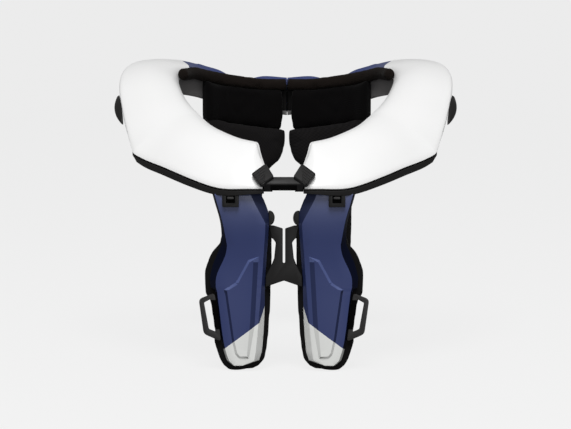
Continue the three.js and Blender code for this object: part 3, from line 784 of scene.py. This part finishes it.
@dataclass
class PadWorks:
    """Inflates the soft pieces of the right half and mirrors them to the left.

    Lengths and places are in millimetres, and turns in degrees. A tuple has a value for each of the stems.
    """

    stems: tuple[str, ...] = ("rim_roll", "rear_pad", "wing_pad", "leg_pad")
    voxel: tuple[float, ...] = (1.6, 2.0, 1.7, 1.5)
    pressure: float = 4.0
    frames: int = 20
    most_move: float = 1.1
    evened: tuple[int, ...] = (3, 2, 24, 14)  # rounds of smoothing before the fabric is pressed
    swell: tuple[float, ...] = (0.8, 0.7, 1.6, 1.8)
    pressed: int = 2  # rounds of smoothing after it
    foot_middle: float = 41.5
    foot_half: float = 9.5
    foot_rise: float = 1.3
    slack: tuple[float, ...] = (0.02, 0.03, 0.03, 0.0)
    held_cosine: float = 0.75
    crease_cosine: float = 0.4
    crease_fill: float = 2.0
    crease_reach: float = 75.0
    crease_level: float = 190.0
    crease_drop: float = 2.0
    end_from: float = 60.0
    end_draw: float = 0.17
    tuck_from: float = 131.0
    tuck_span: float = 14.0
    tuck_forward: float = 1.0
    tuck_outward: float = 1.8
    tuck_up: float = 6.0
    seam_from: float = 20.0
    seam_reach: float = 8.0
    seam_gap: float = 0.6

    def run(self) -> dict[str, bpy.types.Mesh]:
        """Simulates the pads.

        Returns:
            Each right-hand pad's mesh by stem.
        """
        pads = {stem: self._blank(stem, size * MM) for stem, size in zip(self.stems, self.voxel)}
        rest = {stem: [v.co.copy() for v in pad.data.vertices] for stem, pad in pads.items()}
        for stem, pad in pads.items():
            self._clothe(stem, pad)
        for number in range(1, self.frames + 1):
            bpy.context.scene.frame_set(number)
        depsgraph = bpy.context.evaluated_depsgraph_get()
        meshes = {}
        for stem, pad in pads.items():
            mesh = bpy.data.meshes.new_from_object(pad.evaluated_get(depsgraph))
            self._cap(mesh, rest[stem])
            self._stand(stem, mesh)
            meshes[stem] = mesh
            LOG.info("pad %s: %d points", stem, len(mesh.vertices))
        for pad in pads.values():
            bpy.data.objects.remove(pad)
        bpy.context.scene.frame_set(1)
        return meshes

    def _blank(self, stem: str, size: float) -> bpy.types.Object:
        """The pad's CAD solid as an even skin of small faces, swollen and settled.

        Args:
            stem: the pad's stem.
            size: the size of a face, in metres.

        Returns:
            The pad's blank, which is no piece yet.
        """
        skin = Skin(Side.RIGHT.named(stem))
        source = bpy.data.meshes.new(f"{stem}_source")
        skin.bm.to_mesh(source)
        skin.bm.free()
        blank = bpy.data.objects.new(f"{stem}_blank", source)
        bpy.context.scene.collection.objects.link(blank)
        remesh = blank.modifiers.new("even", "REMESH")
        remesh.mode = "VOXEL"
        remesh.voxel_size = size
        depsgraph = bpy.context.evaluated_depsgraph_get()
        even = bpy.data.meshes.new_from_object(blank.evaluated_get(depsgraph))
        bm = bmesh.new()
        bm.from_mesh(even)
        row = self.stems.index(stem)
        self._smooth(bm, self.evened[row])
        for vertex in bm.verts:
            if not self._backing(stem, vertex.normal):
                vertex.co += vertex.normal * self.swell[row] * MM
        self._settle(stem, bm)
        bm.to_mesh(even)
        bm.free()
        blank.modifiers.clear()
        blank.data = even
        return blank

    @staticmethod
    def _smooth(bm: bmesh.types.BMesh, times: int) -> None:
        """Evens out a skin.

        Args:
            bm: the skin.
            times: how often it is smoothed.
        """
        for _ in range(times):
            bmesh.ops.smooth_vert(
                bm, verts=bm.verts[:], factor=0.5, use_axis_x=True, use_axis_y=True, use_axis_z=True
            )
        bm.normal_update()

    def _settle(self, stem: str, bm: bmesh.types.BMesh) -> None:
        """Closes the crease between the two back pads, and fits the roll's ends.

        Args:
            stem: the pad's stem.
            bm: its skin.
        """
        for vertex in bm.verts:
            fill = self.crease_fill * (vertex.co.x / (self.crease_reach * MM)) ** 2
            if stem == "wing_pad":
                if vertex.normal.z > self.crease_cosine and vertex.co.z > self.crease_level * MM:
                    vertex.co.z += (fill - self.crease_drop) * MM
            elif stem == "rear_pad":
                if vertex.normal.z < -self.crease_cosine:
                    vertex.co.z -= (fill + self.crease_drop) * MM
                beyond = max(0.0, vertex.co.x - self.end_from * MM)
                vertex.co.x -= beyond * self.end_draw
            elif stem == "rim_roll":
                self._fit_roll(vertex)

    def _fit_roll(self, vertex: bmesh.types.BMVert) -> None:
        """Tucks the roll's outer end against the panel, and brings its inner end up to the seam.

        Args:
            vertex: a point of the roll.
        """
        outward = Vector((vertex.co.x, vertex.co.y - NECK_Y, 0.0)).normalized()
        forward = Vector((outward.y, -outward.x, 0.0))
        angle = math.degrees(math.atan2(outward.x, -outward.y))
        turn = max(0.0, (self.tuck_from - angle) / self.tuck_span)
        tuck = forward * self.tuck_forward + outward * self.tuck_outward + UP * self.tuck_up
        vertex.co += tuck * MM * turn ** 2
        reach = self.seam_reach * MM * max(0.0, 1 - vertex.co.x / (self.seam_from * MM))
        vertex.co.x = max(vertex.co.x - reach, self.seam_gap * MM)

    def _backing(self, stem: str, normal: Vector) -> bool:
        """Whether a pad's skin lies on its backing here: in front of a leg's pad, behind any other."""
        away = -normal.y if stem == "leg_pad" else normal.y
        return away > self.held_cosine

    def _clothe(self, stem: str, pad: bpy.types.Object) -> None:
        """Gives a pad its fabric: pressed out by its filling, and held where it lies on its backing.

        Args:
            stem: the pad's stem.
            pad: its blank.
        """
        held = pad.vertex_groups.new(name="held")
        for vertex in pad.data.vertices:
            if self._backing(stem, vertex.normal):
                held.add([vertex.index], 1.0, "REPLACE")
        cloth = pad.modifiers.new("fabric", "CLOTH")
        settings = cloth.settings
        settings.quality = 6
        settings.mass = 0.2
        settings.tension_stiffness = settings.compression_stiffness = 12.0
        settings.shear_stiffness = 4.0
        settings.bending_stiffness = 0.4
        settings.shrink_min = -self.slack[self.stems.index(stem)]
        settings.use_pressure = True
        settings.uniform_pressure_force = self.pressure
        settings.effector_weights.gravity = 0.0
        settings.vertex_group_mass = held.name
        cloth.collision_settings.use_collision = False
        cloth.collision_settings.use_self_collision = False
        cloth.point_cache.frame_start = 1
        cloth.point_cache.frame_end = self.frames

    def _cap(self, mesh: bpy.types.Mesh, rest: list[Vector]) -> None:
        """Keeps each point within the most that the fabric may move, and smooths what that leaves.

        Args:
            mesh: the pressed pad.
            rest: its points before that.
        """
        most = self.most_move * MM
        for vertex, start in zip(mesh.vertices, rest):
            move = vertex.co - start
            if move.length > most:
                vertex.co = start + move * (most / move.length)
        bm = bmesh.new()
        bm.from_mesh(mesh)
        self._smooth(bm, self.pressed)
        bm.to_mesh(mesh)
        bm.free()

    def _stand(self, stem: str, mesh: bpy.types.Mesh) -> None:
        """Keeps a pad above the floor, with a leg's foot a little rounded.

        Args:
            stem: the pad's stem.
            mesh: the pad.
        """
        rise = self.foot_rise * MM if stem == "leg_pad" else 0.0
        for vertex in mesh.vertices:
            aside = (vertex.co.x / MM - self.foot_middle) / self.foot_half
            vertex.co.z = max(vertex.co.z, rise * min(1.0, aside ** 2))

    @staticmethod
    def mirrored(mesh: bpy.types.Mesh) -> bpy.types.Mesh:
        """The same pad on the left half.

        Args:
            mesh: the right half's pad.

        Returns:
            The left half's mesh.
        """
        bm = bmesh.new()
        bm.from_mesh(mesh)
        for vertex in bm.verts:
            vertex.co.x = -vertex.co.x
        bmesh.ops.reverse_faces(bm, faces=bm.faces[:])
        copy = bpy.data.meshes.new(f"{mesh.name}_left")
        bm.to_mesh(copy)
        bm.free()
        return copy


@dataclass
class Pads:
    """The pads' meshes, and how they become pieces."""

    shop: Workshop
    meshes: dict[str, bpy.types.Mesh]
    fill: float = 0.7

    def place(self, stem: str, side: Side, look: Look) -> bpy.types.Object:
        """Puts a pad on its half.

        Args:
            stem: the pad's stem.
            side: its half.
            look: its finish.

        Returns:
            The pad's object.
        """
        mesh = self.meshes[stem] if side is Side.RIGHT else PadWorks.mirrored(self.meshes[stem])
        pad = self.shop.piece(side.named(f"soft_{stem}"), mesh, look, side.body, side.named(stem))
        self.shop.subdivide(pad, levels=1)
        return pad


@dataclass
class CollarHalf:
    """The white panel, the black tray under it and the shoulder bumper, in millimetres and degrees."""

    shop: Workshop
    side: Side
    panel_edge: float = 0.7
    panel_crease: float = 52.0
    crisp_until: float = 58.0
    soft_from: float = 80.0
    softest: float = 0.25
    rear_end: float = 131.0
    tray_edge: float = 0.6
    tray_crease: float = 24.0
    bumper_crease: float = 60.0
    bumper_seat: float = 0.8
    trim_end: float = 16.7
    trim_end_angle: float = 8.5
    trim_radius: float = 120.0
    trim_slant: float = 3.2
    trim_drop: float = 1.6
    slant_from: float = 60.0
    slant_until: float = 64.0

    def build(self) -> None:
        """Makes the three pieces."""
        self._panel()
        self._tray()
        self._bumper()

    def _edge_weight(self, spot: Vector) -> float:
        """How crisp the panel's edge is: crisp at the front and at the rear end, soft over the shoulder.

        Args:
            spot: a point of the edge.

        Returns:
            Its crease, up to 1.
        """
        angle = math.degrees(math.atan2(abs(spot.x), -spot.y))
        share = (self.soft_from - angle) / (self.soft_from - self.crisp_until)
        return 1.0 if angle > self.rear_end else min(1.0, max(self.softest, share))

    def _panel(self) -> None:
        """The white panel."""
        skin = Skin(self.side.named("collar_panel")).whole_ends().quads()
        skin.crease(self.panel_crease, self._edge_weight)
        panel = self.shop.mould(skin, "panel", Look.WHITE, self.side, levels=3)
        self.shop.soften(panel, self.panel_edge, segments=3)

    def _tray(self) -> None:
        """The tray, whose edge is the trim under the panel."""
        skin = Skin(self.side.named("collar_tray")).whole_ends()
        self._shape_trim(skin.bm)
        skin.quads().crease(self.tray_crease)
        tray = self.shop.mould(skin, "tray", Look.BLACK, self.side, levels=2)
        self.shop.soften(tray, self.tray_edge, limit=self.tray_crease)

    def _shape_trim(self, bm: bmesh.types.BMesh) -> None:
        """Brings the trim up to the clip, and draws its lower edge in over the shoulder.

        Args:
            bm: the tray's skin, in rings round the neck.
        """
        rings: dict[int, list[bmesh.types.BMVert]] = {}
        for vertex in bm.verts:
            angle = math.degrees(math.atan2(abs(vertex.co.x), NECK_Y - vertex.co.y))
            rings.setdefault(round(angle), []).append(vertex)
            radius = math.hypot(vertex.co.x, vertex.co.y - NECK_Y)
            if angle < self.trim_end_angle and radius > self.trim_radius * MM:
                vertex.co.x = self.side.value * self.trim_end * MM
        for angle, ring in rings.items():
            share = (angle - self.slant_from) / (self.slant_until - self.slant_from)
            edge = sorted(ring, key=lambda vertex: math.hypot(vertex.co.x, vertex.co.y - NECK_Y))[-2:]
            foot = min(edge, key=lambda vertex: vertex.co.z)
            inward = Vector((-foot.co.x, NECK_Y - foot.co.y, 0.0)).normalized()
            foot.co += (inward * self.trim_slant - UP * self.trim_drop) * MM * min(1.0, max(0.0, share))

    def _bumper(self) -> None:
        """The bumper, seated on the panel."""
        skin = Skin(self.side.named("side_bumper")).whole_ends().quads().crease(self.bumper_crease)
        inward = Vector((-self.side.value * self.bumper_seat * MM, 0.0, 0.0))
        bmesh.ops.translate(skin.bm, verts=skin.bm.verts[:], vec=inward)
        self.shop.mould(skin, "bumper", Look.BLACK, self.side, levels=3)


@dataclass
class RearHalf:
    """The blue rim and back wall, the grey wall inside it with painted shade between the pads, the lining
    roll and the nape pad.

    Lengths and places are in millimetres, and creases in degrees.
    """

    shop: Workshop
    pads: Pads
    side: Side
    shell_edge: float = 0.6
    shell_crease: float = 50.0
    frame_edge: float = 0.8
    frame_crease: float = 40.0
    arm_from: float = 70.0
    arm_level: float = 235.0
    arm_rise: float = 6.0

    def build(self) -> None:
        """Makes the four pieces."""
        self._shell()
        self._frame()
        self.pads.place("rim_roll", self.side, Look.LINING)
        self.pads.place("rear_pad", self.side, Look.PAD)

    def _shell(self) -> None:
        """The blue rim and back wall."""
        skin = Skin(self.side.named("rear_shell")).whole_ends().quads().crease(self.shell_crease)
        shell = self.shop.mould(skin, "shell", Look.BLUE, self.side, levels=2)
        self.shop.soften(shell, self.shell_edge)

    def _frame(self) -> None:
        """The grey wall with painted shade between the pads, with its arms raised behind the roll."""
        skin = Skin(self.side.named("rear_frame")).whole_ends().quads().crease(self.frame_crease)
        for vertex in skin.bm.verts:
            if abs(vertex.co.x) > self.arm_from * MM and vertex.co.z > self.arm_level * MM:
                vertex.co.z += self.arm_rise * MM
        wall = self.shop.mould(skin, "nape_wall", Look.GREY, self.side, levels=2)
        self.shop.soften(wall, self.frame_edge)


@dataclass
class RearWing:
    """The lower back pad and the plate behind it."""

    shop: Workshop
    pads: Pads
    side: Side
    plate_edge: float = 0.5
    plate_crease: float = 30.0

    def build(self) -> None:
        """Makes the two pieces."""
        self.pads.place("wing_pad", self.side, Look.WING)
        skin = Skin(self.side.named("wing_plate")).quads().crease(self.plate_crease)
        plate = self.shop.mould(skin, "wing_back", Look.BLUE, self.side, levels=2)
        self.shop.soften(plate, self.plate_edge, limit=self.plate_crease)


class Rim(Enum):
    """The sides of the legs' raised panel, by how much shade is painted on them: below 0 is a painted
    highlight.
    """

    RIDGE = -1.0
    FLUTE = 0.5
    FOOT = 0.3
    OUTER = 0.6


# The raised panel's corners, in millimetres from the middle and up, each with the side that follows it.
RELIEF_OUTLINE = (
    ((51.0, 70.6), Rim.RIDGE),
    ((41.2, 76.8), Rim.RIDGE),
    ((30.8, 96.2), Rim.RIDGE),
    ((20.7, 99.6), Rim.FLUTE),
    ((24.1, 40.0), Rim.FLUTE),
    ((29.6, 10.4), Rim.FOOT),
    ((38.6, 10.6), Rim.OUTER),
    ((42.0, 14.5), Rim.OUTER),
    ((45.0, 27.6), Rim.OUTER),
)


@dataclass
class ChestLeg:
    """A chest leg: its plate with a raised panel, the pad behind it, and its strap fittings.

    Lengths and places are in millimetres, and creases in degrees.
    """

    shop: Workshop
    pads: Pads
    side: Side
    plate_edge: float = 0.5
    plate_crease: float = 14.0
    fitting_edge: float = 0.6
    relief_height: float = 1.2
    relief_bevel: float = 2.4
    relief_round: float = 1.2
    relief_sharp: int = 4  # the outline's first corners, which aren't rounded
    relief_sink: float = 0.25
    relief_step: float = 3.0
    relief_crease: float = 25.0
    flute: float = 2.5
    flute_within: float = 28.5
    flute_foot: float = 13.0
    flute_run: float = 27.0
    facet_from: float = 0.3
    facet_level: float = 126.0
    # how much shade is painted on the plate's slanted faces, low and high on the inner side and on the
    # outer side
    low_facet: float = 0.35
    high_facet: float = 0.7
    outer_facet: float = 1.0
    lug_seat: float = 0.9
    plate_rise: float = 2.2
    tip_rise: float = 0.9
    pocket_depth: float = 0.6
    buckle_rise: float = 1.3
    buckle_shift: float = 1.1
    tongue_rise: float = 2.2
    corner_level: float = 9.0
    corner_within: float = 30.0
    corner_reach: float = 1.6

    def build(self) -> None:
        """Makes the leg's pieces."""
        self.pads.place("leg_pad", self.side, Look.FOAM)
        self._relief(self._plate())
        fittings = (
            ("leg_loop", "strap_loop", Look.LOOP), ("leg_buckle", "buckle", Look.BUCKLE),
            ("buckle_tongue", "tongue", Look.TONGUE), ("web_knob", "lug", Look.BLACK),
        )
        made = {}
        for stem, name, look in fittings:
            made[name] = self.shop.slab(
                self.side.named(stem), look, self.side.body, self.side.named(name), self.fitting_edge
            )
        self._seat(made["lug"])
        self._raise(made["buckle"], self.buckle_rise, self.buckle_rise)
        self._raise(made["tongue"], self.tongue_rise, 0.0)
        self._pocket(made["buckle"])

    def _seat(self, lug: bpy.types.Object) -> None:
        """Stands the lug's flat side against the plate's edge.

        Args:
            lug: the lug's object.
        """
        flat = max(abs(vertex.co.x) for vertex in lug.data.vertices)
        for vertex in lug.data.vertices:
            if abs(vertex.co.x) > flat - NEAR:
                vertex.co.x += self.side.value * self.lug_seat * MM

    def _raise(self, fitting: bpy.types.Object, foot_rise: float, top_rise: float) -> None:
        """Sets a fitting of the buckle close under the trim.

        Args:
            fitting: the buckle or its tongue.
            foot_rise: how far its lower half goes up, in millimetres.
            top_rise: how far its upper half goes up, in millimetres.
        """
        levels = [vertex.co.z for vertex in fitting.data.vertices]
        middle = (min(levels) + max(levels)) / 2
        for vertex in fitting.data.vertices:
            vertex.co.z += (foot_rise if vertex.co.z < middle else top_rise) * MM
            vertex.co.x -= self.side.value * self.buckle_shift * MM

    def _pocket(self, buckle: bpy.types.Object) -> None:
        """Marks the buckle's thin back, behind its frame, for painted shade.

        Args:
            buckle: the buckle's object.
        """
        front = min(vertex.co.y for vertex in buckle.data.vertices)
        layer = buckle.data.attributes.new(PAINTED_LIGHT, "FLOAT", "FACE")
        for face in buckle.data.polygons:
            behind = face.center.y > front + self.pocket_depth * MM
            layer.data[face.index].value = float(behind)

    def _plate(self) -> bpy.types.Object:
        """The leg's plate, whose top runs behind the trim.

        Returns:
            The plate's object.
        """
        skin = Skin(self.side.named("leg_plate")).quads().crease(self.plate_crease)
        self._mark_facets(skin.bm)
        highest = max(vertex.co.z for vertex in skin.bm.verts)
        lowest = min(vertex.co.z for vertex in skin.bm.verts)
        for vertex in skin.bm.verts:
            if vertex.co.z > highest - NEAR:
                vertex.co.z += self.plate_rise * MM
            elif vertex.co.z < lowest + NEAR:
                vertex.co.z += self.tip_rise * MM
            at_corner = abs(vertex.co.z - self.corner_level * MM) < NEAR
            if at_corner and abs(vertex.co.x) < self.corner_within * MM:
                vertex.co.x -= self.side.value * self.corner_reach * MM
        plate = self.shop.mould(skin, "leg", Look.LEG, self.side, levels=2)
        self.shop.soften(plate, self.plate_edge, limit=self.plate_crease)
        return plate

    def _mark_facets(self, bm: bmesh.types.BMesh) -> None:
        """Marks the painted shade on the plate's slanted faces: most on the outer side, and least low on
        the inner side.

        Args:
            bm: the plate's skin.
        """
        layer = bm.faces.layers.float.new(PAINTED_LIGHT)
        bm.normal_update()
        for face in bm.faces:
            outward = face.normal.x * self.side.value
            if outward > self.facet_from:
                face[layer] = self.outer_facet
            elif outward < -self.facet_from:
                high = face.calc_center_median().z > self.facet_level * MM
                face[layer] = self.high_facet if high else self.low_facet

    def _mark_rim(self, bm: bmesh.types.BMesh) -> None:
        """Marks the faces of the relief's rim with painted light: the painted shade or painted highlight of
        the side that each is nearest to.

        Args:
            bm: the relief.
        """
        layer = bm.faces.layers.float.new(PAINTED_LIGHT)
        for face in bm.faces:
            if any(vertex.is_boundary for vertex in face.verts):
                face[layer] = self._rim_side(face.calc_center_median()).value

    @staticmethod
    def _rim_side(spot: Vector) -> Rim:
        """The side of the relief's outline that a spot is nearest to.

        Args:
            spot: a point of the relief, in metres.

        Returns:
            The side.
        """
        flat = Vector((abs(spot.x), spot.z)) / MM
        gaps = []
        for (start, side), (end, _) in zip(RELIEF_OUTLINE, RELIEF_OUTLINE[1:] + RELIEF_OUTLINE[:1]):
            share = intersect_point_line(flat, start, end)[1]
            near = Vector(start).lerp(Vector(end), min(1.0, max(0.0, share)))
            gaps.append(((flat - near).length, side))
        return min(gaps, key=lambda gap: gap[0])[1]

    def _relief(self, plate: bpy.types.Object) -> None:
        """Lays the raised panel on the plate's face.

        Args:
            plate: the plate's object.
        """
        bm = bmesh.new()
        ring = [bm.verts.new((self.side.value * x * MM, 0.0, z * MM)) for (x, z), _ in RELIEF_OUTLINE]
        bm.faces.new(ring)
        bmesh.ops.bevel(
            bm, geom=ring[self.relief_sharp:], offset=self.relief_round * MM, offset_type="OFFSET",
            segments=3, profile=0.5, affect="VERTICES", clamp_overlap=True, material=-1,
        )
        bmesh.ops.inset_region(
            bm, faces=bm.faces[:], thickness=self.relief_bevel * MM, use_even_offset=True, use_boundary=True
        )
        self._widen_flute(bm)
        levels = [z for (_, z), _ in RELIEF_OUTLINE]
        level = min(levels) + self.relief_step
        while level < max(levels):
            everything = bm.verts[:] + bm.edges[:] + bm.faces[:]
            bmesh.ops.bisect_plane(bm, geom=everything, plane_co=UP * level * MM, plane_no=UP)
            level += self.relief_step
        self._lay(bm, plate)
        self._mark_rim(bm)
        relief = self.shop.piece(self.side.named("leg_relief"), bm, Look.LEG, self.side.body)
        relief.data.set_sharp_from_angle(angle=math.radians(self.relief_crease))

    def _widen_flute(self, bm: bmesh.types.BMesh) -> None:
        """Draws the relief's inner side out into a flute that narrows at its foot.

        Args:
            bm: the flat relief.
        """
        for vertex in bm.verts:
            if not vertex.is_boundary and abs(vertex.co.x) < self.flute_within * MM:
                share = (vertex.co.z / MM - self.flute_foot) / self.flute_run
                vertex.co.x += self.side.value * self.flute * MM * min(1.0, max(0.0, share))

    def _lay(self, bm: bmesh.types.BMesh, plate: bpy.types.Object) -> None:
        """Lays the flat relief on the plate, with its rim sunk in the plate's face.

        Args:
            bm: the flat relief.
            plate: the plate's object.
        """
        surface = BVHTree.FromObject(plate, bpy.context.evaluated_depsgraph_get())
        for vertex in bm.verts:
            start = Vector((vertex.co.x, FAR_IN_FRONT, vertex.co.z))
            hit = surface.ray_cast(start, Vector((0.0, 1.0, 0.0)))[0]
            lift = -self.relief_sink if vertex.is_boundary else self.relief_height
            vertex.co.y = hit.y - lift * MM
        bmesh.ops.recalc_face_normals(bm, faces=bm.faces[:])
        if sum(face.normal.y for face in bm.faces) > 0:
            bmesh.ops.reverse_faces(bm, faces=bm.faces[:])


@dataclass
class FrontFastening:
    """The front clip and the chest web."""

    shop: Workshop
    clip_edge: float = 0.8
    web_edge: float = 0.7

    def build(self) -> None:
        """Makes the two pieces."""
        self.shop.slab("front_clip", Look.GRIP, Side.LEFT.body, "clip", self.clip_edge)
        self.shop.slab("chest_web", Look.BLACK, Side.LEFT.body, "web", self.web_edge)


@dataclass
class RearHinge:
    """The hinge's two leaves and its pin."""

    shop: Workshop
    edge: float = 0.3

    def build(self) -> None:
        """Makes the three pieces."""
        for side in Side:
            self.shop.slab(side.named("hinge_leaf"), Look.BLACK, side.body, side.named("leaf"), self.edge)
        self.shop.slab("hinge_pin", Look.STEEL, Side.LEFT.body, "pin", self.edge)


@dataclass(frozen=True)
class Lamp:
    """A soft area lamp aimed at the brace."""

    name: str
    place: tuple[float, float, float]
    size: float
    power: float


@dataclass
class Studio:
    """The pale floor, the lamps and the camera, in metres and degrees."""

    target: tuple[float, float, float] = (0.0, -0.0031, 0.125)
    distance: float = 2.0
    elevation: float = 5.0
    azimuth: float = 0.7
    lens: float = 140.1
    floor_colour: Colour = (0.08, 0.08, 0.08)
    floor_glow: float = 0.81
    floor_half: float = 8.0
    floor_back: float = 5.0
    sweep: float = 2.0
    sweep_steps: int = 16
    world: float = 0.3
    lamps: tuple[Lamp, ...] = (
        Lamp("overhead", (0.0, -1.5, 2.1), 1.2, 46.0),
        Lamp("front", (0.0, -3.0, 0.75), 0.9, 12.0),
    )

    def build(self) -> None:
        """Makes the set."""
        self._floor()
        self._world()
        for lamp in self.lamps:
            self._lamp(lamp)
        self._camera()
        settings = bpy.context.scene.view_settings
        settings.view_transform = "Standard"
        settings.look = "None"

    def _floor(self) -> None:
        """A floor that sweeps up into a wall far behind."""
        bm = bmesh.new()
        half = self.floor_half
        start = [bm.verts.new((x, -half, 0.0)) for x in (-half, half)]
        edge = bm.edges.new(start)
        run = bmesh.ops.extrude_edge_only(bm, edges=[edge])["geom"]
        far = [item for item in run if isinstance(item, bmesh.types.BMVert)]
        bmesh.ops.translate(bm, verts=far, vec=(0.0, half + self.floor_back, 0.0))
        edges = [item for item in run if isinstance(item, bmesh.types.BMEdge)]
        last = [edge for edge in edges if all(vertex in far for vertex in edge.verts)]
        bmesh.ops.spin(
            bm, geom=last + far, cent=(0.0, self.floor_back, self.sweep), axis=(1, 0, 0),
            angle=math.radians(90), steps=self.sweep_steps, use_merge=False, use_duplicate=False,
        )
        bmesh.ops.recalc_face_normals(bm, faces=bm.faces[:])
        mesh = bpy.data.meshes.new("floor")
        bm.to_mesh(mesh)
        bm.free()
        mesh.polygons.foreach_set("use_smooth", [True] * len(mesh.polygons))
        material = bpy.data.materials.new("pale_floor")
        material.use_nodes = True
        shader = material.node_tree.nodes["Principled BSDF"]
        shader.inputs["Base Color"].default_value = (*self.floor_colour, 1.0)
        shader.inputs["Roughness"].default_value = 0.9
        shader.inputs["Specular IOR Level"].default_value = 0.0
        shader.inputs["Emission Color"].default_value = (1.0, 1.0, 1.0, 1.0)
        shader.inputs["Emission Strength"].default_value = self.floor_glow
        mesh.materials.append(material)
        floor = bpy.data.objects.new("floor", mesh)
        bpy.context.scene.collection.objects.link(floor)
        floor.visible_diffuse = False
        floor.visible_glossy = False

    def _world(self) -> None:
        """Even light from all round."""
        world = bpy.data.worlds.new("studio")
        world.use_nodes = True
        background = world.node_tree.nodes["Background"]
        background.inputs["Color"].default_value = (1.0, 1.0, 1.0, 1.0)
        background.inputs["Strength"].default_value = self.world
        bpy.context.scene.world = world

    def _lamp(self, lamp: Lamp) -> None:
        """Hangs one lamp.

        Args:
            lamp: the lamp.
        """
        data = bpy.data.lights.new(lamp.name, "AREA")
        data.size = lamp.size
        data.energy = lamp.power
        light = bpy.data.objects.new(lamp.name, data)
        light.location = lamp.place
        aim = Vector(self.target) - light.location
        light.rotation_euler = aim.to_track_quat("-Z", "Y").to_euler()
        bpy.context.scene.collection.objects.link(light)

    def _camera(self) -> None:
        """Stands the camera where the brace is seen from the front."""
        turn, rise = math.radians(self.azimuth), math.radians(self.elevation)
        aside, level = math.sin(turn) * math.cos(rise), -math.cos(turn) * math.cos(rise)
        back = Vector((aside, level, math.sin(rise)))
        data = bpy.data.cameras.new("front")
        data.lens = self.lens
        data.sensor_width = 36.0
        camera = bpy.data.objects.new("front", data)
        camera.location = Vector(self.target) + back * self.distance
        camera.rotation_euler = (-back).to_track_quat("-Z", "Y").to_euler()
        bpy.context.scene.collection.objects.link(camera)
        bpy.context.scene.camera = camera


def main() -> None:
    """Builds the pieces and the set."""
    logging.basicConfig(level=logging.INFO, format="%(name)s: %(message)s")
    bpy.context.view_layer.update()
    shop = Workshop()
    pads = Pads(shop, PadWorks().run())
    for side in Side:
        CollarHalf(shop, side).build()
        RearHalf(shop, pads, side).build()
        RearWing(shop, pads, side).build()
        ChestLeg(shop, pads, side).build()
    FrontFastening(shop).build()
    RearHinge(shop).build()
    Studio().build()
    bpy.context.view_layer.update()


if __name__ == "__main__":
    main()
